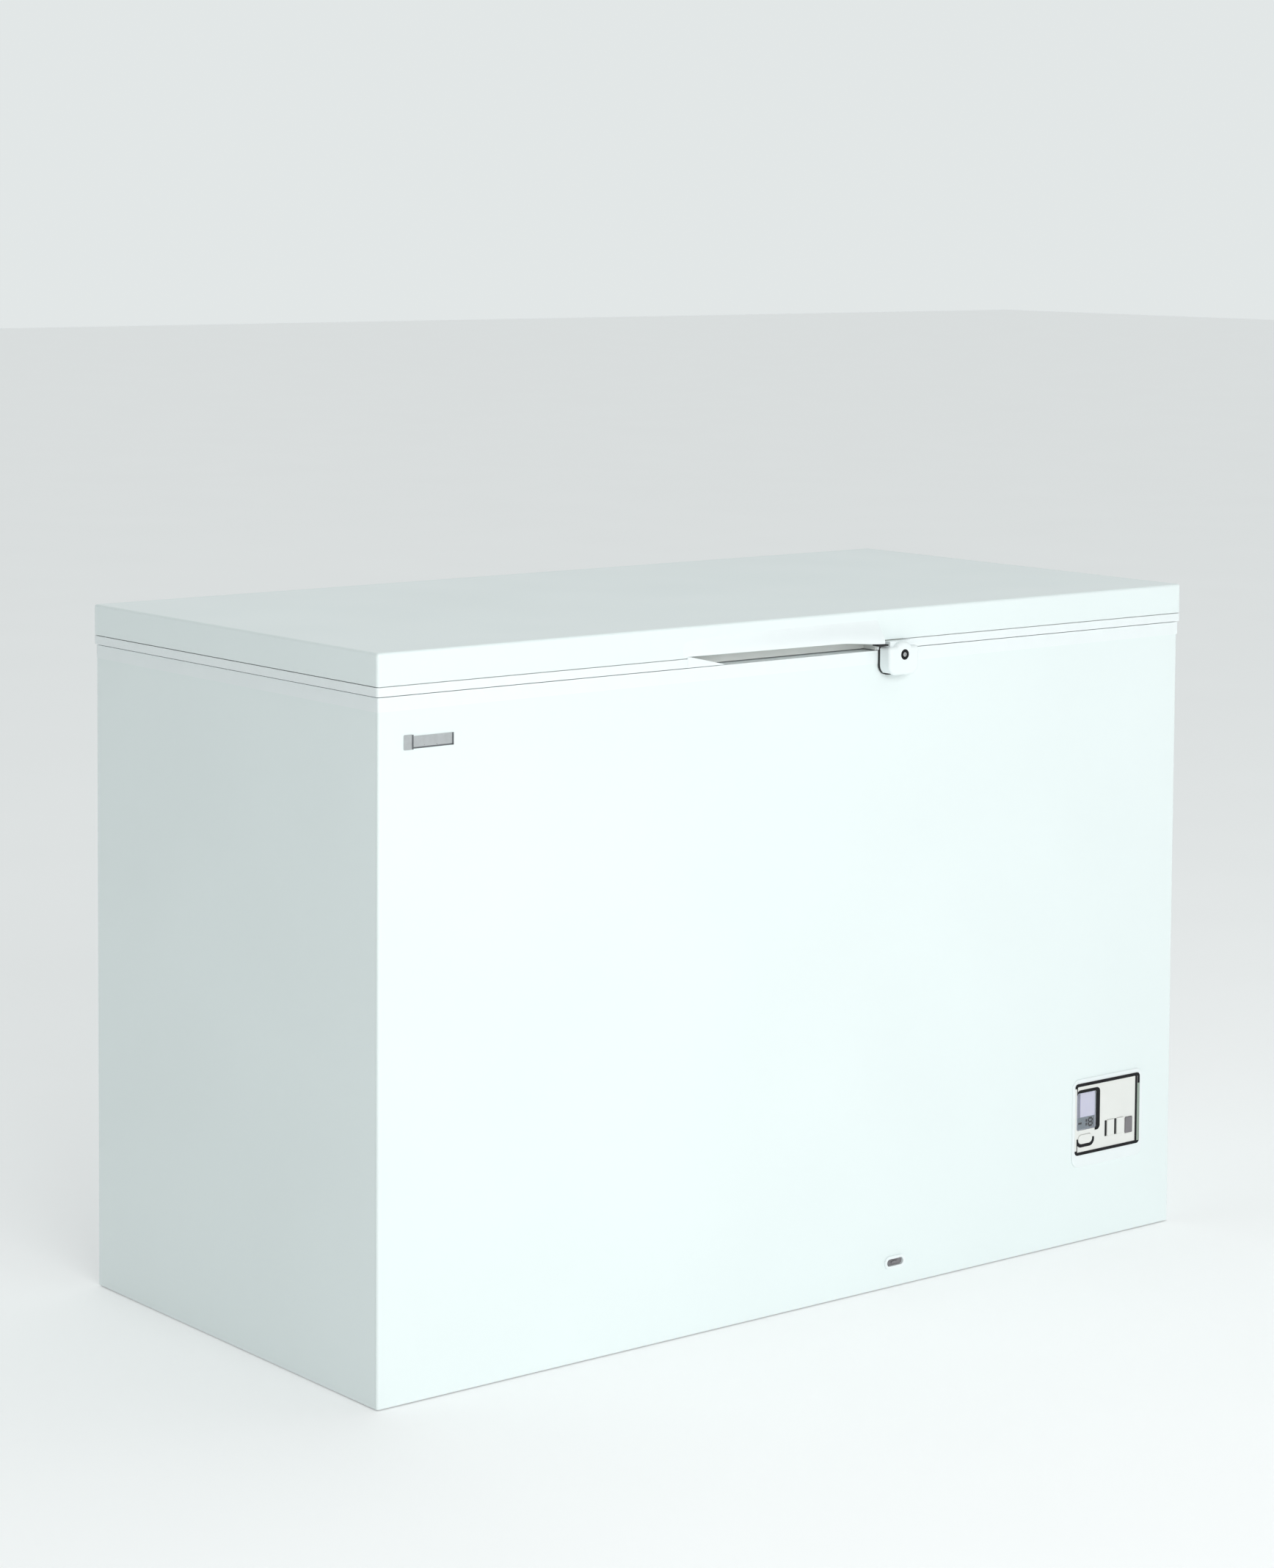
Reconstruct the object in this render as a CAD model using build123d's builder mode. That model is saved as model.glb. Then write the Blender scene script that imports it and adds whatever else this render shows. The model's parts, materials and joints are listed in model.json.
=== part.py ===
from build123d import *
import os

# Chest freezer, millimetres. Origin: middle of the overall box, on the floor.
# +X is to the right seen from the front, the front faces -Y, and +Z is up.

# ---- driving dimensions ----
LID_W = 1280.0
LID_D = 610.0
HEIGHT = 850.0
LID_OVERHANG = 3.0
SHEET = 1.0
PANEL_BOTTOM = 1.5
WALL = 62.0
DECK_Z = 800.0
TUB_FLOOR_Z = 100.0
STEP_FLOOR_Z = 370.0
STEP_X = 305.0
LEDGE_DROP = 12.0
LEDGE_W = 10.0
FRONT_PROUD = 20.0
HINGE_Z = 812.0
HINGE_Y = LID_D / 2 + 12.0
LOCK_X = 129.5
LOCK_Z = 795.5
RUN_GAP = 0.05
MOVE_GAP = 0.4

# ---- worked out from them ----
CAB_X = LID_W / 2 - LID_OVERHANG
CAB_Y = LID_D / 2 - LID_OVERHANG
TUB_X = CAB_X - WALL
TUB_Y = CAB_Y - WALL
IN_X = CAB_X - SHEET
IN_Y = CAB_Y - SHEET
LINER_X = TUB_X + SHEET
LINER_Y = TUB_Y + SHEET
LEDGE_Z = DECK_Z - LEDGE_DROP
FRAME_T = 3.0
LINER_TOP = LEDGE_Z - FRAME_T
PANEL_TOP = DECK_Z - FRAME_T
PAN_Z = 20.0
WALL_X = STEP_X + WALL + SHEET
CEIL_Z = STEP_FLOOR_Z - 60.0
LID_Z = 812.5
LID_FRAME_Z = 801.2
LID_FRAME_TOP = 811.5
LID_SHEET = 0.8
HANDLE_X0 = -199.0
HANDLE_X1 = 102.0
SLOT_TOP = 814.0
UPSTAND_TOP = 816.0
FRONT_Y = -LID_D / 2

os.makedirs("parts", exist_ok=True)


def block(x, y, z, mode=Mode.ADD):
    """A box given by its low and high coordinates along each axis."""
    with Locations(((x[0] + x[1]) / 2, (y[0] + y[1]) / 2, (z[0] + z[1]) / 2)):
        Box(x[1] - x[0], y[1] - y[0], z[1] - z[0], mode=mode)


def slab(half_x, half_y, z0, z1, radius, mode=Mode.ADD):
    """A plate centred on the origin with rounded vertical corners."""
    with BuildSketch(Plane.XY.offset(z0)) as outline:
        RectangleRounded(2 * half_x, 2 * half_y, radius)
    extrude(outline.sketch, amount=z1 - z0, mode=mode)


def front_plate(center, size, y_front, thickness, radius, mode=Mode.ADD):
    """A rounded plate that faces -Y, from y_front back by its thickness."""
    with BuildSketch(Plane.XZ.offset(-y_front)) as outline:
        with Locations(center):
            RectangleRounded(size[0], size[1], radius)
    extrude(outline.sketch, amount=-thickness, mode=mode)


def rod_y(center, radius, y0, y1, mode=Mode.ADD):
    """A round bar along Y."""
    with BuildSketch(Plane.XZ.offset(-y0)) as outline:
        with Locations(center):
            Circle(radius)
    extrude(outline.sketch, amount=-(y1 - y0), mode=mode)


def rod_x(center, radius, x0, x1, mode=Mode.ADD):
    """A round bar along X; center is (y, z)."""
    with BuildSketch(Plane.YZ.offset(x0)) as outline:
        with Locations(center):
            Circle(radius)
    extrude(outline.sketch, amount=x1 - x0, mode=mode)


def tube(points, radius, corner=26.0):
    """A solid round bar that follows the points, bent round at each corner."""
    with BuildLine() as path:
        FilletPolyline(*points, radius=corner)
    with BuildSketch(Plane(origin=path.line @ 0, z_dir=path.line % 0)) as outline:
        Circle(radius)
    sweep(outline.sketch, path=path.line)


def save(part, label):
    part.label = label
    export_step(part, f"parts/{label}.step")


# ---- outer cabinet ----
FRONT_RETURN = 3.5
SEAM = 0.4
CONTROL_X = 518.5
CONTROL_Z = 157.0
CONTROL_W = 129.0
CONTROL_H = 116.0
DRAIN_X = 144.0
DRAIN_Z = 32.0
GRILLE_Y = (-40.0, 200.0)
GRILLE_Z = (60.0, 260.0)
SERVICE_X = (400.0, 612.0)
SERVICE_Z = (36.0, 286.0)
SIDE_Y0 = -CAB_Y + FRONT_RETURN + SEAM

with BuildPart() as front_panel:
    block((-CAB_X, CAB_X), (-CAB_Y, -CAB_Y + FRONT_RETURN), (PANEL_BOTTOM, PANEL_TOP))
    corners = front_panel.edges().filter_by(Axis.Z).group_by(Axis.Y)[0]
    fillet(corners, radius=3.0)
    block((-IN_X, IN_X), (-IN_Y, -CAB_Y + FRONT_RETURN), (PANEL_BOTTOM, PANEL_TOP), Mode.SUBTRACT)
    front_plate((CONTROL_X, CONTROL_Z), (CONTROL_W - 12, CONTROL_H - 12), -CAB_Y, SHEET, 6, Mode.SUBTRACT)
    front_plate((DRAIN_X, DRAIN_Z), (30, 12), -CAB_Y, SHEET, 5.9, Mode.SUBTRACT)
save(front_panel.part, "front_panel")


def side_panel(side):
    """A flat side sheet with a flange turned in along its rear edge."""
    outer, inner = side * CAB_X, side * IN_X
    block(sorted((outer, inner)), (SIDE_Y0, CAB_Y), (PANEL_BOTTOM, PANEL_TOP))
    block(sorted((outer, outer - side * 16)), (IN_Y, CAB_Y), (PANEL_BOTTOM, PANEL_TOP))


with BuildPart() as left_side_panel:
    side_panel(-1)
save(left_side_panel.part, "left_side_panel")

with BuildPart() as right_side_panel:
    side_panel(1)
    block((IN_X, CAB_X), GRILLE_Y, GRILLE_Z, Mode.SUBTRACT)
save(right_side_panel.part, "right_side_panel")

with BuildPart() as rear_panel:
    block((-IN_X, IN_X), (IN_Y - SHEET, IN_Y), (PANEL_BOTTOM, PANEL_TOP))
    block(SERVICE_X, (IN_Y - SHEET, IN_Y), SERVICE_Z, Mode.SUBTRACT)
save(rear_panel.part, "rear_panel")

# ---- base: two rails on four feet, the pan under the tub and the machine tray ----
RAIL_Y = 272.0
RAIL_W = 30.0
FOOT_H = 6.0
FOOT_X = 590.0
STUD_R = 4.0

with BuildPart() as base_rails:
    for side in (-1, 1):
        rail_y = side * RAIL_Y
        y_span = (rail_y - RAIL_W / 2, rail_y + RAIL_W / 2)
        y_core = (rail_y - RAIL_W / 2 + 1.5, rail_y + RAIL_W / 2 - 1.5)
        block((-630, 630), y_span, (FOOT_H, PAN_Z))
        block((-630, 630), y_core, (FOOT_H + 1.5, PAN_Z - 1.5), Mode.SUBTRACT)
        with Locations((-FOOT_X, rail_y, FOOT_H), (FOOT_X, rail_y, FOOT_H)):
            Cylinder(STUD_R, 4, mode=Mode.SUBTRACT)
save(base_rails.part, "base_rails")

with BuildPart() as foot_glides:
    with BuildSketch():
        with GridLocations(2 * FOOT_X, 2 * RAIL_Y, 2, 2):
            Circle(18)
    extrude(amount=FOOT_H)
    with BuildSketch(Plane.XY.offset(FOOT_H)):
        with GridLocations(2 * FOOT_X, 2 * RAIL_Y, 2, 2):
            Circle(STUD_R)
    extrude(amount=10)
    rims = foot_glides.faces().sort_by(Axis.Z)[:4].edges()
    chamfer(rims, length=1)
save(foot_glides.part, "foot_glides")

with BuildPart() as base_pan:
    block((-IN_X, WALL_X), (-IN_Y, IN_Y - SHEET), (PAN_Z, PAN_Z + SHEET))
save(base_pan.part, "base_pan")

with BuildPart() as machine_tray:
    block((WALL_X, IN_X), (-IN_Y, IN_Y - SHEET), (PAN_Z, PAN_Z + 1.5))
    for bead_x in (WALL_X + 30, IN_X - 30):
        block((bead_x - 6, bead_x + 6), (-260, 260), (PAN_Z + 1.5, PAN_Z + 4.5))
save(machine_tray.part, "machine_tray")

with BuildPart() as compartment_wall:
    block((WALL_X, WALL_X + SHEET), (-IN_Y, IN_Y - SHEET), (PAN_Z + 1.5, CEIL_Z))
    block((WALL_X, IN_X), (-IN_Y, IN_Y - SHEET), (CEIL_Z - SHEET, CEIL_Z))
save(compartment_wall.part, "compartment_wall")


# ---- tub ----
def tank(grow, top, radius, mode=Mode.ADD):
    """The tub's stepped volume, grown outwards by a wall thickness."""
    x0, x1, x2 = -TUB_X - grow, STEP_X + grow, TUB_X + grow
    deep_mid, deep_w = (x0 + x1) / 2, x1 - x0
    depth = 2 * (TUB_Y + grow)
    with BuildSketch(Plane.XY.offset(TUB_FLOOR_Z - grow)) as deep:
        with Locations((deep_mid, 0)):
            RectangleRounded(deep_w, depth, radius)
    extrude(deep.sketch, amount=top - TUB_FLOOR_Z + grow, mode=mode)
    with BuildSketch(Plane.XY.offset(STEP_FLOOR_Z - grow)) as whole:
        with Locations(((x0 + x2) / 2, 0)):
            RectangleRounded(x2 - x0, depth, radius)
    extrude(whole.sketch, amount=top - STEP_FLOOR_Z + grow, mode=mode)


DRAIN_Y = -150.0
DRAIN_TUBE_R = 8.0

with BuildPart() as inner_liner:
    tank(SHEET, LINER_TOP, 19)
    slab(LINER_X + 8, LINER_Y + 8, LINER_TOP - SHEET, LINER_TOP, 24)
    tank(0, LINER_TOP, 18, Mode.SUBTRACT)
    with Locations((DRAIN_X, DRAIN_Y, TUB_FLOOR_Z)):
        Cylinder(DRAIN_TUBE_R, 6, mode=Mode.SUBTRACT)
save(inner_liner.part, "inner_liner")

with BuildPart() as top_frame:
    slab(CAB_X + 1, CAB_Y + 1, DECK_Z - 16, DECK_Z, 2.5)
    slab(CAB_X, CAB_Y, DECK_Z - 16, PANEL_TOP, 0.05, Mode.SUBTRACT)
    slab(TUB_X + LEDGE_W + 2, TUB_Y + LEDGE_W + 2, LINER_TOP, DECK_Z, 22)
    slab(TUB_X + LEDGE_W, TUB_Y + LEDGE_W, LEDGE_Z, DECK_Z, 20, Mode.SUBTRACT)
    slab(TUB_X, TUB_Y, LINER_TOP, DECK_Z, 18, Mode.SUBTRACT)
save(top_frame.part, "top_frame")

# ---- refrigerant tubes buried in the foam ----
EVAP_R = 4.0
EVAP_OFF = EVAP_R + 0.4
EVAP_LEVELS = (150, 225, 300, 420, 495, 570, 645, 720)
HOT_R = 3.0
HOT_X = IN_X - HOT_R - 0.6
HOT_Y = IN_Y - HOT_R - 1.6
HOT_RIGHT = 270.0


def evaporator_path():
    """Turns round the tub, each one climbing along the rear wall."""
    points = []
    for z in EVAP_LEVELS:
        right = (STEP_X if z < STEP_FLOOR_Z else TUB_X) + SHEET + EVAP_OFF
        left, depth = -LINER_X - EVAP_OFF, LINER_Y + EVAP_OFF
        points += [(left, depth, z), (left, -depth, z), (right, -depth, z), (right, depth, z)]
    return points


def condenser_path():
    """Runs along the front, left and rear panels, stepping down at each end."""
    points = []
    for i, z in enumerate((740, 640, 540, 440, 340, 240)):
        run = [(HOT_RIGHT, -HOT_Y, z), (-HOT_X, -HOT_Y, z), (-HOT_X, HOT_Y, z), (HOT_RIGHT, HOT_Y, z)]
        points += run if i % 2 == 0 else run[::-1]
    return points


with BuildPart() as evaporator_coil:
    tube(evaporator_path(), EVAP_R, 22)
save(evaporator_coil.part, "evaporator_coil")

with BuildPart() as condenser_coil:
    tube(condenser_path(), HOT_R)
save(condenser_coil.part, "condenser_coil")

with BuildPart() as drain_tube:
    drain_route = [(DRAIN_X, DRAIN_Y, TUB_FLOOR_Z - SHEET), (DRAIN_X, DRAIN_Y, DRAIN_Z)]
    tube(drain_route + [(DRAIN_X, -IN_Y + 12, DRAIN_Z)], DRAIN_TUBE_R, 20)
    tube_ends = drain_tube.faces().filter_by(GeomType.PLANE)
    offset(amount=-1.5, openings=tube_ends)
save(drain_tube.part, "drain_tube")

# ---- foam: slabs that meet at the corners of the cabinet ----
FOAM_BOTTOM = PAN_Z + SHEET
FOAM_TOP = LINER_TOP - SHEET
FOAM_REAR = IN_Y - SHEET
TUB_BOTTOM = TUB_FLOOR_Z - SHEET
STEP_BOTTOM = STEP_FLOOR_Z - SHEET
DEEP_X = STEP_X + SHEET
FOAM_SLABS = (
    ((-IN_X, WALL_X), (-IN_Y, FOAM_REAR), (FOAM_BOTTOM, TUB_BOTTOM)),
    ((DEEP_X, WALL_X), (-IN_Y, FOAM_REAR), (TUB_BOTTOM, CEIL_Z)),
    ((DEEP_X, IN_X), (-IN_Y, FOAM_REAR), (CEIL_Z, STEP_BOTTOM)),
    ((-IN_X, DEEP_X), (-IN_Y, -LINER_Y), (TUB_BOTTOM, STEP_BOTTOM)),
    ((-IN_X, DEEP_X), (LINER_Y, FOAM_REAR), (TUB_BOTTOM, STEP_BOTTOM)),
    ((-IN_X, IN_X), (-IN_Y, -LINER_Y), (STEP_BOTTOM, FOAM_TOP)),
    ((-IN_X, IN_X), (LINER_Y, FOAM_REAR), (STEP_BOTTOM, FOAM_TOP)),
    ((-IN_X, -LINER_X), (-LINER_Y, LINER_Y), (TUB_BOTTOM, FOAM_TOP)),
    ((LINER_X, IN_X), (-LINER_Y, LINER_Y), (STEP_BOTTOM, FOAM_TOP)),
)


def foam_slab(bounds):
    """One slab of foam with the tubes' and the drain's channels through it."""
    with BuildPart() as foam:
        block(*bounds)
        add(evaporator_coil.part, mode=Mode.SUBTRACT)
        add(condenser_coil.part, mode=Mode.SUBTRACT)
        if bounds[2][0] == FOAM_BOTTOM:
            with BuildSketch(Plane.XY.offset(DRAIN_Z - DRAIN_TUBE_R)):
                with Locations((DRAIN_X, (DRAIN_Y - IN_Y) / 2)):
                    Rectangle(2 * DRAIN_TUBE_R + 4, IN_Y + DRAIN_Y + 20)
            extrude(amount=TUB_BOTTOM, mode=Mode.SUBTRACT)
            front_plate((DRAIN_X, DRAIN_Z), (30, 12), -IN_Y, 11.5, 5.9, Mode.SUBTRACT)
    return foam.part


foam_parts = [foam_slab(bounds) for bounds in FOAM_SLABS]
save(Compound(children=[solid for part in foam_parts for solid in part.solids()]), "cabinet_foam")

# ---- drain outlet and plugs ----
with BuildPart() as drain_bezel:
    front_plate((DRAIN_X, DRAIN_Z), (34, 16), -CAB_Y - 2, 2, 7.9)
    front_plate((DRAIN_X, DRAIN_Z), (29.4, 11.4), -CAB_Y, 10, 5.6)
    front_plate((DRAIN_X, DRAIN_Z), (27, 9), -CAB_Y - 2, 9, 4.4, Mode.SUBTRACT)
    rod_y((DRAIN_X, DRAIN_Z), 3, -CAB_Y + 5, -CAB_Y + 12, Mode.SUBTRACT)
save(drain_bezel.part, "drain_bezel")

with BuildPart() as drain_cap:
    front_plate((DRAIN_X, DRAIN_Z), (27 - 2 * MOVE_GAP, 9 - 2 * MOVE_GAP), -CAB_Y + 1, 3, 4.0)
    front_plate((DRAIN_X, DRAIN_Z), (10, 2.4), -CAB_Y - 1.4, 2.4, 1.1)
save(drain_cap.part, "drain_cap")

with BuildPart() as drain_plug:
    with BuildSketch(Plane.XY.offset(TUB_FLOOR_Z + 0.3)):
        with Locations((DRAIN_X, DRAIN_Y)):
            Circle(15)
    extrude(amount=4)
    with BuildSketch(Plane.XY.offset(TUB_FLOOR_Z - 8)):
        with Locations((DRAIN_X, DRAIN_Y)):
            Circle(DRAIN_TUBE_R - 1.9)
    extrude(amount=8.3)
    block((DRAIN_X - 6, DRAIN_X + 6), (DRAIN_Y - 1.5, DRAIN_Y + 1.5), (TUB_FLOOR_Z + 4.3, TUB_FLOOR_Z + 10))
save(drain_plug.part, "drain_plug")

# ---- plain badge plate on the front, top left ----
with BuildPart() as badge_plate:
    front_plate((-597, 747.5), (12, 17), -CAB_Y - 0.8, 0.8, 1.5)
    front_plate((-563, 747), (56, 14), -CAB_Y - 0.8, 0.8, 1.5)
save(badge_plate.part, "badge_plate")

# ---- control panel ----
FACE_X = 517.5
FACE_Z = 162.5
FACE_W = 119.0
FACE_H = 94.0
FACE_R = 5.0
FACE_Y = -CAB_Y - 2.0
BORDER = 4.0
BEZEL = (482.0, 173.0)
BEZEL_W = 42.0
BEZEL_H = 56.0
WINDOW = (479.0, 172.5)
WINDOW_W = 36.0
WINDOW_H = 49.0
KEYS = (
    ("power_key", (476.0, 136.0), (25.0, 12.0), 5.9),
    ("set_key", (523.0, 144.0), (13.0, 21.0), 1.5),
    ("down_key", (541.0, 144.0), (13.0, 21.0), 1.5),
    ("up_key", (556.8, 142.5), (13.0, 21.0), 1.5),
)
RING_AT = (476.5, 134.6)
RING = (33.0, 18.0)
RIBS_X = (514.2, 532.0)
RIB_W = 3.0
FACE_SEAT = 1.5
FRAME_Y = FACE_Y - 0.8
FRAME_T_Y = FACE_Y + FACE_SEAT - FRAME_Y
PLATE_Y = FACE_Y - 0.4
PLATE_T = FACE_Y + FACE_SEAT - PLATE_Y
KEY_FRONT = FACE_Y - 1.8
KEY_BACK = -CAB_Y + 3.5
SWITCH_GAP = 1.6
BOARD_Y = KEY_BACK + SWITCH_GAP + 2.0


def key_holes(y_front, depth):
    """Clearance holes for all the keys."""
    for _, key_at, key_size, key_r in KEYS:
        hole = (key_size[0] + 2 * MOVE_GAP, key_size[1] + 2 * MOVE_GAP)
        front_plate(key_at, hole, y_front, depth, key_r, Mode.SUBTRACT)


with BuildPart() as control_escutcheon:
    front_plate((CONTROL_X, CONTROL_Z), (CONTROL_W, CONTROL_H), FACE_Y, 2, 12)
    front_rim = control_escutcheon.faces().sort_by(Axis.Y)[0].edges()
    fillet(front_rim, radius=1.2)
    front_plate((CONTROL_X, CONTROL_Z), (CONTROL_W - 12.6, CONTROL_H - 12.6), -CAB_Y, 20, 5.7)
    front_plate((CONTROL_X, CONTROL_Z), (CONTROL_W - 17, CONTROL_H - 17), -CAB_Y + 1.5, 20, 4, Mode.SUBTRACT)
    front_plate((FACE_X, FACE_Z), (FACE_W, FACE_H), FACE_Y, FACE_SEAT, FACE_R, Mode.SUBTRACT)
    front_plate(WINDOW, (WINDOW_W - 1, WINDOW_H - 1), FACE_Y, 4, 2, Mode.SUBTRACT)
    key_holes(FACE_Y, 4)
save(control_escutcheon.part, "control_escutcheon")

with BuildPart() as control_frame:
    front_plate((FACE_X, FACE_Z), (FACE_W, FACE_H), FRAME_Y, FRAME_T_Y, FACE_R)
    inside = (FACE_W - 2 * BORDER, FACE_H - 2 * BORDER)
    front_plate((FACE_X, FACE_Z), inside, FRAME_Y, FRAME_T_Y, FACE_R - BORDER, Mode.SUBTRACT)
    front_plate(BEZEL, (BEZEL_W, BEZEL_H), FRAME_Y, FRAME_T_Y, 6)
    front_plate(WINDOW, (WINDOW_W, WINDOW_H), FRAME_Y, FRAME_T_Y, 3, Mode.SUBTRACT)
    ring_top = (RING_AT[0], KEYS[0][1][1] + RING[1] / 2)
    front_plate(RING_AT, RING, FRAME_Y, FRAME_T_Y, RING[1] / 2 - 0.1)
    front_plate(ring_top, (RING[0] + 2, RING[1] - 2), FRAME_Y, FRAME_T_Y, 1, Mode.SUBTRACT)
    open_side = (FACE_X - FACE_W / 2, FACE_Z)
    front_plate(open_side, (2 * BORDER - 2, FACE_H - 2 * BORDER - 4), FRAME_Y, FRAME_T_Y, 1, Mode.SUBTRACT)
    for rib_x in RIBS_X:
        front_plate((rib_x, KEYS[1][1][1]), (RIB_W, KEYS[1][2][1]), FRAME_Y, FRAME_T_Y, 1)
    key_holes(FRAME_Y, FRAME_T_Y)
save(control_frame.part, "control_frame")

with BuildPart() as control_faceplate:
    front_plate((FACE_X, FACE_Z), (FACE_W, FACE_H), PLATE_Y, PLATE_T, FACE_R)
    add(control_frame.part, mode=Mode.SUBTRACT)
    front_plate(WINDOW, (WINDOW_W, WINDOW_H), PLATE_Y, PLATE_T, 3, Mode.SUBTRACT)
    key_holes(PLATE_Y, PLATE_T)
save(control_faceplate.part, "control_faceplate")

with BuildPart() as display_window:
    front_plate(WINDOW, (WINDOW_W, WINDOW_H), FACE_Y - 0.6, 1.4, 3)
save(display_window.part, "display_window")

with BuildPart() as display_module:
    front_plate(WINDOW, (WINDOW_W - 4, WINDOW_H - 2), FACE_Y + 1.6, 4, 1)
save(display_module.part, "display_module")

for key_name, key_at, key_size, key_r in KEYS:
    with BuildPart() as key:
        front_plate(key_at, key_size, KEY_FRONT, KEY_BACK - KEY_FRONT, key_r - 0.1)
        fillet(key.faces().sort_by(Axis.Y)[0].edges(), radius=0.8)
    save(key.part, key_name)

with BuildPart() as control_board:
    front_plate((CONTROL_X, CONTROL_Z), (CONTROL_W - 20, CONTROL_H - 20), BOARD_Y, 1.6, 1)
    for _, key_at, _, _ in KEYS:
        rod_y(key_at, 3, BOARD_Y - 2, BOARD_Y)
    for part_x, part_z, part_w in ((540, 180, 22), (500, 120, 14), (550, 115, 18)):
        front_plate((part_x, part_z), (part_w, 12), BOARD_Y + 1.6, 6.4, 1)
save(control_board.part, "control_board")

# ---- compressor compartment ----
COMP_X = 505.0
COMP_Y = 110.0
COMP_R = 82.0
TRAY_TOP = PAN_Z + 1.5
LEGS_Z = TRAY_TOP + 14.0
MOUNT_DX = 104.0
MOUNT_DY = 170.0

with BuildPart() as compressor:
    with BuildSketch(Plane(origin=(COMP_X, COMP_Y, LEGS_Z), x_dir=(1, 0, 0), z_dir=(0, -1, 0))):
        with BuildLine():
            Polyline(
                (0, 176), (0, 8), (56, 8), (74, 24), (COMP_R - 2, 88), (COMP_R, 88), (COMP_R, 98),
                (COMP_R - 3, 98), (66, 150),
            )
            ThreePointArc((66, 150), (50, 168), (24, 176))
            Line((24, 176), (0, 176))
        make_face()
    revolve(axis=Axis((COMP_X, COMP_Y, 0), (0, 0, 1)))
    with BuildSketch(Plane.XY.offset(LEGS_Z)):
        with Locations((COMP_X, COMP_Y)):
            RectangleRounded(MOUNT_DX + 30, MOUNT_DY + 30, 12)
            with GridLocations(MOUNT_DX, MOUNT_DY, 2, 2):
                Circle(7, mode=Mode.SUBTRACT)
    extrude(amount=9)
save(compressor.part, "compressor")

with BuildPart() as compressor_mounts:
    for z0, z1, radius in ((TRAY_TOP, LEGS_Z, 13), (LEGS_Z, LEGS_Z + 9, 6.9), (LEGS_Z + 9, LEGS_Z + 13, 11)):
        with BuildSketch(Plane.XY.offset(z0)):
            with Locations((COMP_X, COMP_Y)):
                with GridLocations(MOUNT_DX, MOUNT_DY, 2, 2):
                    Circle(radius)
        extrude(amount=z1 - z0)
save(compressor_mounts.part, "compressor_mounts")

RELAY_X = (COMP_X - 24, COMP_X + 24)
RELAY_Y = (COMP_Y - COMP_R - 30, COMP_Y - COMP_R - 0.5)
RELAY_Z = (LEGS_Z + 60, LEGS_Z + 116)

with BuildPart() as relay_box:
    block(RELAY_X, RELAY_Y, RELAY_Z)
    fillet(relay_box.edges().filter_by(Axis.Y), radius=5)
save(relay_box.part, "relay_box")

DRIER_X = 410.0

with BuildPart() as filter_drier:
    with BuildSketch(Plane.XY.offset(90)):
        with Locations((DRIER_X, -60)):
            Circle(9.5)
    extrude(amount=110)
    fillet(filter_drier.edges().filter_by(GeomType.CIRCLE), radius=4)
save(filter_drier.part, "filter_drier")

with BuildPart() as suction_line:
    tube([(400, 250, CEIL_Z - 6), (400, 250, 130), (460, 250, 130), (460, COMP_Y + 60, 130)], 4, 14)
    add(compressor.part, mode=Mode.SUBTRACT)
save(suction_line.part, "suction_line")

with BuildPart() as discharge_line:
    tube([(COMP_X + 40, COMP_Y - 60, 90), (COMP_X + 40, -40, 90), (COMP_X + 40, -40, CEIL_Z - 6)], 3, 14)
    add(compressor.part, mode=Mode.SUBTRACT)
save(discharge_line.part, "discharge_line")

with BuildPart() as capillary_tube:
    tube([(DRIER_X, -60, 200.2), (DRIER_X, -60, 240), (DRIER_X, 20, 240), (DRIER_X, 20, CEIL_Z - 6)], 1.2, 12)
save(capillary_tube.part, "capillary_tube")

LOUVRE_PITCH = 14.0

with BuildPart() as side_grille:
    block((IN_X - 6, CAB_X), (GRILLE_Y[0] + 0.3, GRILLE_Y[1] - 0.3), (GRILLE_Z[0] + 0.3, GRILLE_Z[1] - 0.3))
    block((CAB_X, CAB_X + 1.2), (GRILLE_Y[0] - 6, GRILLE_Y[1] + 6), (GRILLE_Z[0] - 6, GRILLE_Z[1] + 6))
    grille_mid = (sum(GRILLE_Y) / 2, sum(GRILLE_Z) / 2)
    with BuildSketch(Plane.YZ.offset(IN_X - 6)):
        with Locations(grille_mid):
            with GridLocations(74, LOUVRE_PITCH, 3, 13):
                Rectangle(66, 6)
    extrude(amount=10, mode=Mode.SUBTRACT)
save(side_grille.part, "side_grille")

COVER_Y = CAB_Y
GLAND_X = 440.0
GLAND_Z = 62.0
CORD_R = 4.0
GLAND_R = 9.0

with BuildPart() as rear_service_cover:
    block((SERVICE_X[0] - 12, SERVICE_X[1] + 8), (IN_Y, COVER_Y), (SERVICE_Z[0] - 12, SERVICE_Z[1] + 12))
    with BuildSketch(Plane.XZ.offset(-IN_Y)):
        with Locations(((SERVICE_X[0] + SERVICE_X[1]) / 2, 190)):
            with GridLocations(66, LOUVRE_PITCH, 3, 11):
                SlotOverall(56, 5)
        with Locations((GLAND_X, GLAND_Z)):
            Circle(GLAND_R)
    extrude(amount=-SHEET, mode=Mode.SUBTRACT)
save(rear_service_cover.part, "rear_service_cover")

with BuildPart() as cord_gland:
    rod_y((GLAND_X, GLAND_Z), GLAND_R, IN_Y - 10, COVER_Y)
    rod_y((GLAND_X, GLAND_Z), 13, COVER_Y, COVER_Y + 4)
    rod_y((GLAND_X, GLAND_Z), CORD_R, IN_Y - 10, COVER_Y + 4, Mode.SUBTRACT)
save(cord_gland.part, "cord_gland")


def screw_heads(places, y_face, radius, height):
    """Pan heads that stand out to the rear from a face."""
    for place in places:
        rod_y(place, radius, y_face, y_face + height)
    fillet(faces().sort_by(Axis.Y)[-len(places):].edges(), radius=height * 0.45)


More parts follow.
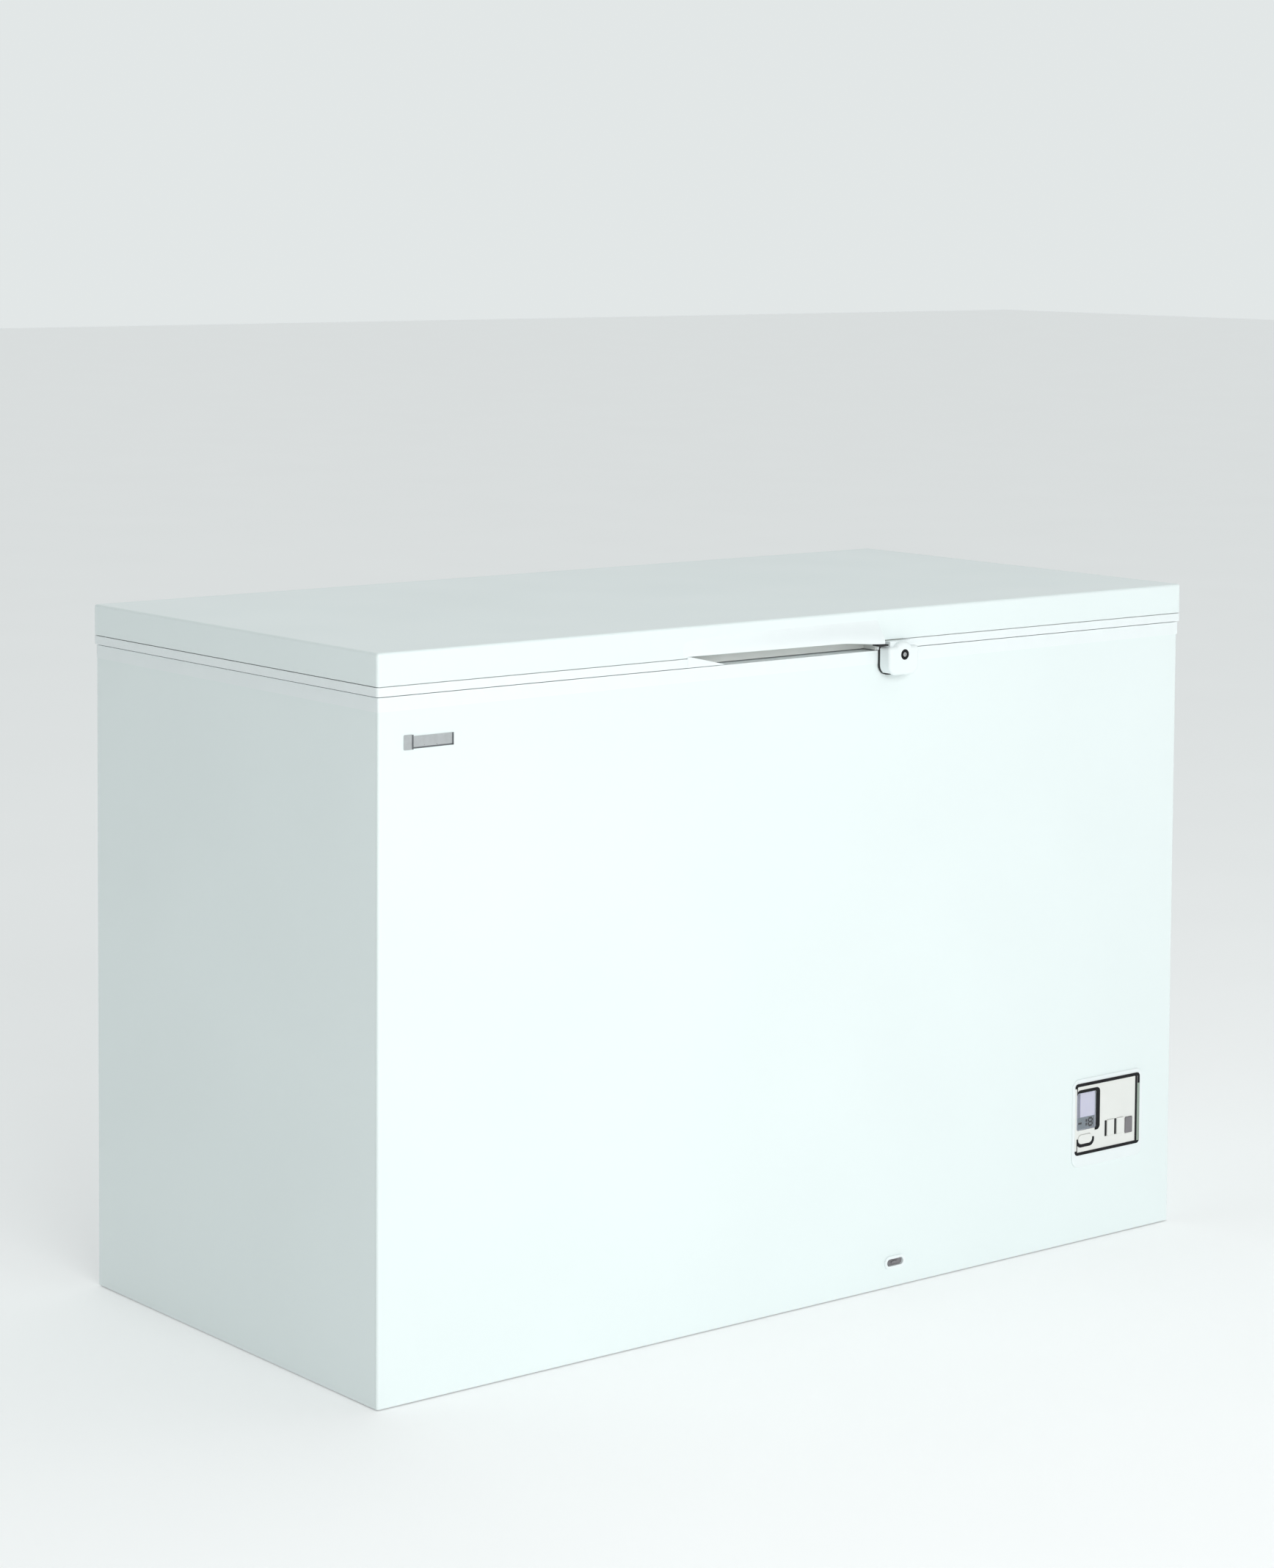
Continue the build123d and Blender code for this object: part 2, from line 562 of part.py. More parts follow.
with BuildPart() as rear_screws:
    edge_places = [(side * (CAB_X - 8), z) for side in (-1, 1) for z in (40, 220, 400, 580, 760)]
    cover_places = [(x, z) for x in (SERVICE_X[0] - 6, SERVICE_X[1] + 3) for z in (30, 292)]
    screw_heads(edge_places + cover_places, CAB_Y, 3.2, 2)
save(rear_screws.part, "rear_screws")

# ---- hinges ----
HINGES = {"left": -430.0, "right": 430.0}
CHEEK_X = (21.0, 24.0)
KNUCKLE_R = 8.0
PIN_R = 4.0
KNUCKLE_HALF = 8.0


def cheek(x0, x1):
    """One side plate of a hinge bracket, stepped out past the rim of the cabinet."""
    with BuildSketch(Plane.YZ.offset(x0)) as outline:
        with BuildLine():
            Polyline(
                (CAB_Y, 690), (CAB_Y + 12, 690), (HINGE_Y + 7.5, 780), (HINGE_Y + 7.5, HINGE_Z + 1),
                (HINGE_Y + 1, HINGE_Z + 8), (HINGE_Y - 3, HINGE_Z + 8), (CAB_Y + 5, HINGE_Z + 4),
                (CAB_Y + 5, 782), (CAB_Y, 782), close=True,
            )
        make_face()
        with Locations((HINGE_Y, HINGE_Z)):
            Circle(PIN_R, mode=Mode.SUBTRACT)
    extrude(outline.sketch, amount=x1 - x0)


for hinge_name, hinge_x in HINGES.items():
    with BuildPart() as hinge_bracket:
        block((hinge_x - 42, hinge_x + 42), (CAB_Y, CAB_Y + 2), (690, 782))
        for side in (-1, 1):
            near, far = hinge_x + side * CHEEK_X[0], hinge_x + side * CHEEK_X[1]
            cheek(min(near, far), max(near, far))
    save(hinge_bracket.part, f"hinge_bracket_{hinge_name}")

    with BuildPart() as hinge_arm:
        rod_x((HINGE_Y, HINGE_Z), KNUCKLE_R, hinge_x - KNUCKLE_HALF, hinge_x + KNUCKLE_HALF)
        knuckle_x = (hinge_x - KNUCKLE_HALF, hinge_x + KNUCKLE_HALF)
        block(knuckle_x, (LID_D / 2, HINGE_Y), (HINGE_Z + 3, HINGE_Z + 8))
        arm_y = (LID_D / 2, LID_D / 2 + 2.5)
        block(knuckle_x, arm_y, (HINGE_Z + 3, HINGE_Z + 12))
        block((hinge_x - 32, hinge_x + 32), arm_y, (HINGE_Z + 12, HEIGHT - 6))
        bore_at = (HINGE_Y, HINGE_Z)
        rod_x(bore_at, PIN_R + RUN_GAP, hinge_x - KNUCKLE_HALF, hinge_x + KNUCKLE_HALF, Mode.SUBTRACT)
    save(hinge_arm.part, f"hinge_arm_{hinge_name}")

with BuildPart() as hinge_pins:
    for hinge_x in HINGES.values():
        rod_x((HINGE_Y, HINGE_Z), PIN_R, hinge_x - CHEEK_X[1] - 2, hinge_x + CHEEK_X[1] + 2)
save(hinge_pins.part, "hinge_pins")

with BuildPart() as hinge_springs:
    for hinge_x in HINGES.values():
        for side in (-1, 1):
            ends = sorted((hinge_x + side * (KNUCKLE_HALF + 1), hinge_x + side * (CHEEK_X[0] - 1)))
            rod_x((HINGE_Y, HINGE_Z), 7, *ends)
            rod_x((HINGE_Y, HINGE_Z), PIN_R + 0.5, *ends, Mode.SUBTRACT)
save(hinge_springs.part, "hinge_springs")

with BuildPart() as hinge_screws:
    hinge_places = [(x + dx, z) for x in HINGES.values() for dx in (-33, 33) for z in (704, 768)]
    screw_heads(hinge_places, CAB_Y + 2, 3.6, 2.2)
save(hinge_screws.part, "hinge_screws")

with BuildPart() as arm_screws:
    arm_places = [(x + dx, z) for x in HINGES.values() for dx in (-22, 22) for z in (829, 839)]
    screw_heads(arm_places, LID_D / 2 + 2.5, 3.2, 2)
save(arm_screws.part, "arm_screws")

# ---- lid ----
LID_X = LID_W / 2
LID_Y = LID_D / 2
LID_R = 4.0
UPSTAND_IN = 3.5
FRAME_IN = (590.0, 255.0)
PLUG_IN = (TUB_X + 5, TUB_Y + 5)
PLUG_Z = 795.0
LINER_T = 1.5
LIP_IN = 6.2
GASKET_IN = 29.0
GASKET_W = 16.0
NOTCH_Y = -281.0
TONGUE_HALF = 17.5
TONGUE_L = 13.5

with BuildPart() as lid_hollow:
    slab(LID_X - LID_SHEET, LID_Y - LID_SHEET, LID_Z, HEIGHT - LID_SHEET, LID_R - LID_SHEET)
    fillet(lid_hollow.faces().sort_by(Axis.Z)[-1].edges(), radius=3 - LID_SHEET)

with BuildPart() as lid_shell:
    slab(LID_X, LID_Y, LID_Z, HEIGHT, LID_R)
    fillet(lid_shell.faces().sort_by(Axis.Z)[-1].edges(), radius=3)
    add(lid_hollow.part, mode=Mode.SUBTRACT)
    block((HANDLE_X0, HANDLE_X1), (-LID_Y, -LID_Y + LID_SHEET), (LID_Z, UPSTAND_TOP), Mode.SUBTRACT)
save(lid_shell.part, "lid_shell")

with BuildPart() as lid_frame:
    slab(LID_X, LID_Y, LID_FRAME_Z, LID_FRAME_TOP, LID_R)
    slab(LID_X - UPSTAND_IN, LID_Y - UPSTAND_IN, LID_FRAME_TOP, UPSTAND_TOP, 2)
    slab(LID_X - LIP_IN, LID_Y - LIP_IN, LID_FRAME_TOP, UPSTAND_TOP, 2, Mode.SUBTRACT)
    slab(*FRAME_IN, LID_FRAME_Z, LID_FRAME_TOP, 20, Mode.SUBTRACT)
    groove = GASKET_IN - 0.5
    slab(LID_X - groove, LID_Y - groove, LID_FRAME_Z, LID_FRAME_Z + 4, 16, Mode.SUBTRACT)
    groove = GASKET_IN + GASKET_W + 0.5
    slab(LID_X - groove, LID_Y - groove, LID_FRAME_Z, LID_FRAME_Z + 4, 10)
    slab(*FRAME_IN, LID_FRAME_Z, LID_FRAME_Z + 4, 20, Mode.SUBTRACT)
    block((HANDLE_X0, HANDLE_X1), (-LID_Y, NOTCH_Y), (LID_FRAME_Z, UPSTAND_TOP), Mode.SUBTRACT)
    tongue_x = (LOCK_X - TONGUE_HALF - 0.5, LOCK_X + TONGUE_HALF + 0.5)
    block(tongue_x, (-LID_Y, -LID_Y + TONGUE_L + 0.5), (LID_FRAME_Z, UPSTAND_TOP), Mode.SUBTRACT)
save(lid_frame.part, "lid_frame")

with BuildPart() as lid_foam:
    slab(PLUG_IN[0] - LINER_T, PLUG_IN[1] - LINER_T, PLUG_Z + LINER_T, LID_FRAME_TOP, 12)
    slab(*FRAME_IN, LID_FRAME_Z + LINER_T, LID_FRAME_TOP, 20)
    slab(LID_X - LIP_IN, LID_Y - LIP_IN, LID_FRAME_TOP, UPSTAND_TOP, 2)
    slab(LID_X - LID_SHEET, LID_Y - LID_SHEET, UPSTAND_TOP, HEIGHT - LID_SHEET, LID_R - LID_SHEET)
    fillet(lid_foam.faces().sort_by(Axis.Z)[-1].edges(), radius=3 - LID_SHEET)
    block((HANDLE_X0, HANDLE_X1), (-LID_Y, NOTCH_Y), (LID_FRAME_TOP, UPSTAND_TOP), Mode.SUBTRACT)
save(lid_foam.part, "lid_foam")

with BuildPart() as lid_liner:
    slab(*PLUG_IN, PLUG_Z, LID_FRAME_Z + LINER_T, 13.5)
    slab(*FRAME_IN, LID_FRAME_Z, LID_FRAME_Z + LINER_T, 20)
    inner = (PLUG_IN[0] - LINER_T, PLUG_IN[1] - LINER_T)
    slab(*inner, PLUG_Z + LINER_T, LID_FRAME_Z + LINER_T, 12, Mode.SUBTRACT)
save(lid_liner.part, "lid_liner")

with BuildPart() as lid_gasket:
    slab(LID_X - GASKET_IN, LID_Y - GASKET_IN, DECK_Z + 0.2, LID_FRAME_Z + 4, 15.5)
    inner = GASKET_IN + GASKET_W
    slab(LID_X - inner, LID_Y - inner, DECK_Z + 0.2, LID_FRAME_Z + 4, 10.5, Mode.SUBTRACT)
save(lid_gasket.part, "lid_gasket")

# ---- handle: a hood that swells out of the lid's front towards the lock ----
HOOD_TOP = 842.0
HOOD_LIP = 4.0
HOOD_EDGE = 0.4
HOOD_LEFT = 1.0
HOOD_RIGHT = 14.0
CEIL_T = 1.5
CHEEK_L = 56.0
CHEEK_R = 3.0


def hood_section(x, proud):
    """The hood's outline in a plane across the lid, at one end of it."""
    with BuildSketch(Plane.YZ.offset(x)) as outline:
        with BuildLine():
            Polyline(
                (FRONT_Y, SLOT_TOP), (FRONT_Y - proud, SLOT_TOP), (FRONT_Y - proud, SLOT_TOP + HOOD_LIP),
                (FRONT_Y - HOOD_EDGE, HOOD_TOP), (FRONT_Y, HOOD_TOP), close=True,
            )
        make_face()
    return outline.sketch


with BuildPart() as handle_grip:
    loft([hood_section(HANDLE_X0, HOOD_LEFT), hood_section(HANDLE_X1, HOOD_RIGHT)], ruled=True)
    block((HANDLE_X0, HANDLE_X1), (FRONT_Y, NOTCH_Y), (SLOT_TOP, SLOT_TOP + CEIL_T))
    block((HANDLE_X0, HANDLE_X1), (NOTCH_Y - 2, NOTCH_Y), (LID_FRAME_Z, SLOT_TOP))
    with BuildSketch(Plane.XY.offset(LID_FRAME_Z)) as right_end:
        with BuildLine():
            Polyline(
                (HANDLE_X1 - CHEEK_R, NOTCH_Y), (HANDLE_X1 - CHEEK_R, FRONT_Y - HOOD_RIGHT + 0.2),
                (HANDLE_X1, FRONT_Y - HOOD_RIGHT), (HANDLE_X1, NOTCH_Y), close=True,
            )
        make_face()
    extrude(right_end.sketch, amount=SLOT_TOP - LID_FRAME_Z)
    with BuildSketch(Plane.XZ.offset(-NOTCH_Y)) as left_cheek:
        with BuildLine():
            Polyline(
                (HANDLE_X0, LID_FRAME_Z), (HANDLE_X0 + CHEEK_L, LID_FRAME_Z),
                (HANDLE_X0 + 4, SLOT_TOP), (HANDLE_X0, SLOT_TOP), close=True,
            )
        make_face()
    extrude(left_cheek.sketch, amount=NOTCH_Y - FRONT_Y + HOOD_LEFT)
save(handle_grip.part, "handle_grip")

# ---- lock: a housing that hangs from the lid over the cabinet's front ----
LOCK_W = 49.0
LOCK_BOTTOM = 770.0
LOCK_TOP = 811.5
LOCK_SHOULDER = 805.5
LOCK_FACE = FRONT_Y - FRONT_PROUD
LOCK_WALL = 5.0
CYL_R = 6.5
CAM_T = 2.0
CAM_Y = (-315.0, -313.0)
CAM_L = 16.0

with BuildPart() as lock_housing:
    with BuildSketch(Plane.XZ.offset(-LOCK_FACE)) as lock_front:
        with Locations((LOCK_X, (LOCK_BOTTOM + LOCK_SHOULDER) / 2)):
            Rectangle(LOCK_W, LOCK_SHOULDER - LOCK_BOTTOM)
        fillet(lock_front.vertices().group_by(Axis.Y)[0], radius=13)
        fillet(lock_front.vertices().group_by(Axis.Y)[-1], radius=4)
        with Locations((LOCK_X, LOCK_Z)):
            Circle(LOCK_TOP - LOCK_Z)
        with Locations((LOCK_X, LOCK_Z)):
            Circle(CYL_R + RUN_GAP, mode=Mode.SUBTRACT)
    extrude(amount=-FRONT_PROUD)
    block(
        (LOCK_X - LOCK_W / 2 + LOCK_WALL, LOCK_X + LOCK_W / 2 - LOCK_WALL),
        (LOCK_FACE + LOCK_WALL, FRONT_Y), (LOCK_BOTTOM - 1, LOCK_SHOULDER - 2), Mode.SUBTRACT,
    )
    face_edges = lock_housing.faces().sort_by(Axis.Y)[0].outer_wire().edges()
    fillet(face_edges, radius=4.5)
    tongue_x = (LOCK_X - TONGUE_HALF, LOCK_X + TONGUE_HALF)
    block(tongue_x, (FRONT_Y - 12, FRONT_Y + TONGUE_L), (LOCK_SHOULDER - 2, LID_FRAME_TOP))
    rod_y((LOCK_X, LOCK_Z), CYL_R + 2.5, LOCK_FACE + LOCK_WALL, CAM_Y[0] - 2.5)
    rod_y((LOCK_X, LOCK_Z), CYL_R + RUN_GAP, LOCK_FACE, CAM_Y[0], Mode.SUBTRACT)
save(lock_housing.part, "lock_housing")

with BuildPart() as lock_cylinder:
    rod_y((LOCK_X, LOCK_Z), CYL_R, LOCK_FACE + 0.2, CAM_Y[0])
    front_plate((LOCK_X, LOCK_Z), (1.4, 7), LOCK_FACE, 6, 0.6, Mode.SUBTRACT)
    rod_y((LOCK_X, LOCK_Z), 3, CAM_Y[0], CAM_Y[1] + 2)
save(lock_cylinder.part, "lock_cylinder")

with BuildPart() as lock_cam:
    with BuildSketch(Plane.XZ.offset(-CAM_Y[0])):
        with Locations((LOCK_X, LOCK_Z - CAM_L / 2 + 2)):
            RectangleRounded(9, CAM_L + 4, 4)
        with Locations((LOCK_X, LOCK_Z)):
            Circle(3, mode=Mode.SUBTRACT)
    extrude(amount=-CAM_T)
save(lock_cam.part, "lock_cam")

CATCH_Z = LOCK_Z + 5.0

with BuildPart() as lock_catch:
    block((LOCK_X + 8, LOCK_X + 19), (-CAB_Y - 1.5, -CAB_Y), (774, 783.6))
    block((LOCK_X + 17, LOCK_X + 19), (-317, -CAB_Y - 1.5), (774, 783.6))
    block((LOCK_X + 17, LOCK_X + 19), (-317, -CAB_Y - 3.5), (783.6, CATCH_Z))
    block((LOCK_X + 9.5, LOCK_X + 19), (-317, -CAB_Y - 3.5), (CATCH_Z, CATCH_Z + 2))
save(lock_catch.part, "lock_catch")

# ---- wire baskets, as plain open boxes of their outer size ----
BASKET_W = 260.0
BASKET_TOP_Z = LEDGE_Z + 4.0
BASKET_BOTTOM_Z = 570.0
BASKET_Y = 225.0
BASKET_WALL = 3.0
BASKETS = {"left": -TUB_X + 8 + BASKET_W / 2, "right": TUB_X - 8 - BASKET_W / 2}

for basket_name, basket_x in BASKETS.items():
    with BuildPart() as basket:
        half = BASKET_W / 2
        inner_half = half - BASKET_WALL
        inner_y = BASKET_Y - BASKET_WALL
        block((basket_x - half, basket_x + half), (-BASKET_Y, BASKET_Y), (BASKET_BOTTOM_Z, BASKET_TOP_Z))
        block(
            (basket_x - inner_half, basket_x + inner_half), (-inner_y, inner_y),
            (BASKET_BOTTOM_Z + BASKET_WALL, BASKET_TOP_Z), Mode.SUBTRACT,
        )
        for side in (-1, 1):
            rim = sorted((side * BASKET_Y, side * (TUB_Y + LEDGE_W - 2)))
            block((basket_x - half + 20, basket_x + half - 20), rim, (LEDGE_Z + 0.3, BASKET_TOP_Z))
    save(basket.part, f"basket_{basket_name}")
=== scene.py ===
import json
import math

import bpy
from mathutils import Matrix, Vector


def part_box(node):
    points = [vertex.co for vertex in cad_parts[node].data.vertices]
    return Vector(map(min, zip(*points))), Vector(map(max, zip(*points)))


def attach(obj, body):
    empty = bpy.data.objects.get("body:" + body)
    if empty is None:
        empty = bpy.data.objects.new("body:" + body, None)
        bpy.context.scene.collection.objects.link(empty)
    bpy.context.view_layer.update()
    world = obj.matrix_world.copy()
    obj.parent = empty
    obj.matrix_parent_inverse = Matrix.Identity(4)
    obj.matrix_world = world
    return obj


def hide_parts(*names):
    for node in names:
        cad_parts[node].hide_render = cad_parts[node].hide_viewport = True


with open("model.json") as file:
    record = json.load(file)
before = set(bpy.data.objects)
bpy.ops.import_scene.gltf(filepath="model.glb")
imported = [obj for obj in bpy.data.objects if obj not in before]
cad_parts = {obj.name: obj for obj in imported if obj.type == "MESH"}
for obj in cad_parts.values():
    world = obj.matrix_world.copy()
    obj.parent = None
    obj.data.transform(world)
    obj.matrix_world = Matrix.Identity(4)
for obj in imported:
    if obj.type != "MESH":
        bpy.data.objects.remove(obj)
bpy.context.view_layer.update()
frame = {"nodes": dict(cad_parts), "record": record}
nodes = frame["nodes"]
MM = 0.001


# ---------- camera ----------
CAMERA_AT = (-2.942, -3.629, 1.3475)
YAW, PITCH, ROLL = math.radians(38.72), math.radians(3.838), math.radians(0.367)
LENS = 84.92
SENSOR = 36.0
SHIFT_Y = -0.2138
CLIP = (0.05, 60.0)


def add_camera():
    """The camera, in front and to the left, above the lid and tilted slightly down."""
    data = bpy.data.cameras.new("camera")
    data.sensor_fit = "VERTICAL"
    data.sensor_height = SENSOR
    data.lens = LENS
    data.shift_y = SHIFT_Y
    data.clip_start, data.clip_end = CLIP
    camera = bpy.data.objects.new("camera", data)
    bpy.context.scene.collection.objects.link(camera)
    turn = Matrix.Rotation(-YAW, 4, "Z") @ Matrix.Rotation(math.pi / 2 - PITCH, 4, "X")
    camera.matrix_world = Matrix.Translation(CAMERA_AT) @ turn @ Matrix.Rotation(ROLL, 4, "Z")
    bpy.context.scene.camera = camera


# ---------- light, floor and world ----------
FLOOR_SIZE = 60.0
FLOOR_COLOUR, FLOOR_GLOW = (0.88, 0.89, 0.89), 0.22
DOME_DIM, DOME_BRIGHT = 0.33, 0.80
DOME_BRIGHT_WAY = (0.80, 0.60, 0.0)
DOME_TURN = (-0.7, 0.6)
DOME_COLOUR = (0.955, 1.0, 1.0, 1.0)
# name, place, target, size, watts
LAMPS = (
    ("front_key", (-1.6, -5.0, 2.0), (-0.2, 0, 0.5), (3.2, 2.6), 136),
    ("top_soft", (0.0, 0.3, 4.2), (0, 0.3, 0.5), (3.5, 3.5), 9),
)


def add_area(name, place, target, size, watts):
    """A soft white rectangular lamp that faces its target."""
    data = bpy.data.lights.new(name, "AREA")
    data.shape = "RECTANGLE"
    data.size, data.size_y = size
    data.energy = watts
    lamp = bpy.data.objects.new(name, data)
    bpy.context.scene.collection.objects.link(lamp)
    lamp.location = place
    lamp.rotation_euler = (Vector(target) - Vector(place)).to_track_quat("-Z", "Y").to_euler()


def add_stage():
    """A pale floor, a plain pale dome that is dimmer to the left, and soft lamps."""
    bpy.context.scene.view_settings.view_transform = "Standard"
    bpy.ops.mesh.primitive_plane_add(size=FLOOR_SIZE)
    floor = bpy.context.object
    floor.name = "floor"
    floor.data.materials.append(
        material("floor_paper", FLOOR_COLOUR, rough=0.9, mottle=0.008, mottle_scale=2.0, emission=FLOOR_GLOW)
    )
    world = bpy.data.worlds.new("studio")
    world.use_nodes = True
    tree = world.node_tree
    place = tree.nodes.new("ShaderNodeTexCoord")
    dot = tree.nodes.new("ShaderNodeVectorMath")
    dot.operation = "DOT_PRODUCT"
    dot.inputs[1].default_value = DOME_BRIGHT_WAY
    tree.links.new(place.outputs["Generated"], dot.inputs[0])
    level = tree.nodes.new("ShaderNodeMapRange")
    level.interpolation_type = "SMOOTHSTEP"
    level.inputs["From Min"].default_value, level.inputs["From Max"].default_value = DOME_TURN
    level.inputs["To Min"].default_value = DOME_DIM
    level.inputs["To Max"].default_value = DOME_BRIGHT
    tree.links.new(dot.outputs["Value"], level.inputs["Value"])
    sky = tree.nodes["Background"]
    sky.inputs["Color"].default_value = DOME_COLOUR
    tree.links.new(level.outputs["Result"], sky.inputs["Strength"])
    bpy.context.scene.world = world
    for lamp in LAMPS:
        add_area(*lamp)


# ---------- materials ----------
COAT_ROUGH = 0.12
NOISE_MIDDLE = (0.25, 0.75)
ROUGH_SCALE = 1.7
BUMP_OCTAVES = 3.0
EDGE_DOT = (0.985, 0.75)


def material(name, colour, rough=0.4, metal=0.0, coat=0.0, mottle=0.02, mottle_scale=30.0,
             rough_spread=0.06, bumps=(), transmission=0.0, ior=1.45, emission=0.0, specular=0.5, edge_tint=None,
             octaves=4.0):
    """A procedural finish: mottled colour and roughness, layered bumps and edges tinted lighter or darker.

    bumps holds (kind, scale, strength, depth in metres), where kind is "noise" or "cells".
    edge_tint is (colour, width in metres, amount), laid on along the edges.
    octaves says how fine the mottling goes.
    """
    made = bpy.data.materials.new(name)
    made.use_nodes = True
    tree = made.node_tree
    shader = tree.nodes["Principled BSDF"]
    shader.inputs["Metallic"].default_value = metal
    shader.inputs["Coat Weight"].default_value = coat
    shader.inputs["Coat Roughness"].default_value = COAT_ROUGH
    shader.inputs["Transmission Weight"].default_value = transmission
    shader.inputs["IOR"].default_value = ior
    shader.inputs["Specular IOR Level"].default_value = specular
    place = tree.nodes.new("ShaderNodeTexCoord")

    def noise(scale, detail):
        node = tree.nodes.new("ShaderNodeTexNoise")
        node.inputs["Scale"].default_value = scale
        node.inputs["Detail"].default_value = detail
        tree.links.new(place.outputs["Object"], node.inputs["Vector"])
        return node.outputs["Fac"]

    def spread(source, low, high):
        node = tree.nodes.new("ShaderNodeMapRange")
        node.inputs["From Min"].default_value, node.inputs["From Max"].default_value = NOISE_MIDDLE
        node.inputs["To Min"].default_value = low
        node.inputs["To Max"].default_value = high
        tree.links.new(source, node.inputs["Value"])
        return node.outputs["Result"]

    def mix(factor, first, second):
        node = tree.nodes.new("ShaderNodeMix")
        node.data_type = "RGBA"
        tree.links.new(factor, node.inputs["Factor"])
        colour_a, colour_b, colour_out = node.inputs[6], node.inputs[7], node.outputs[2]
        for socket, value in ((colour_a, first), (colour_b, second)):
            if isinstance(value, tuple):
                socket.default_value = (*value, 1.0)
            else:
                tree.links.new(value, socket)
        return colour_out

    dark = tuple(c * (1 - mottle) for c in colour)
    light = tuple(min(1.0, c * (1 + mottle)) for c in colour)
    base = mix(spread(noise(mottle_scale, octaves), 0.0, 1.0), dark, light)
    if edge_tint:
        edge_colour, width, amount = edge_tint
        bevel = tree.nodes.new("ShaderNodeBevel")
        bevel.samples = 4
        bevel.inputs["Radius"].default_value = width
        flat = tree.nodes.new("ShaderNodeNewGeometry")
        dot = tree.nodes.new("ShaderNodeVectorMath")
        dot.operation = "DOT_PRODUCT"
        tree.links.new(bevel.outputs["Normal"], dot.inputs[0])
        tree.links.new(flat.outputs["Normal"], dot.inputs[1])
        edge = tree.nodes.new("ShaderNodeMapRange")
        edge.inputs["From Min"].default_value, edge.inputs["From Max"].default_value = EDGE_DOT
        edge.inputs["To Max"].default_value = amount
        tree.links.new(dot.outputs["Value"], edge.inputs["Value"])
        base = mix(edge.outputs["Result"], base, edge_colour)
    tree.links.new(base, shader.inputs["Base Color"])
    low, high = max(0.02, rough - rough_spread), min(1.0, rough + rough_spread)
    tree.links.new(spread(noise(mottle_scale * ROUGH_SCALE, octaves), low, high), shader.inputs["Roughness"])
    if emission:
        tree.links.new(base, shader.inputs["Emission Color"])
        shader.inputs["Emission Strength"].default_value = emission
    normal = None
    for kind, scale, strength, depth in bumps:
        if kind == "cells":
            cells = tree.nodes.new("ShaderNodeTexVoronoi")
            cells.feature = "SMOOTH_F1"
            cells.inputs["Scale"].default_value = scale
            tree.links.new(place.outputs["Object"], cells.inputs["Vector"])
            height = cells.outputs["Distance"]
        else:
            height = noise(scale, BUMP_OCTAVES)
        bump = tree.nodes.new("ShaderNodeBump")
        bump.inputs["Strength"].default_value = strength
        bump.inputs["Distance"].default_value = depth
        tree.links.new(height, bump.inputs["Height"])
        if normal:
            tree.links.new(normal, bump.inputs["Normal"])
        normal = bump.outputs["Normal"]
    if normal:
        tree.links.new(normal, shader.inputs["Normal"])
    return made


ENAMEL = (0.82, 0.895, 0.89)
PLASTIC = (0.84, 0.895, 0.90)


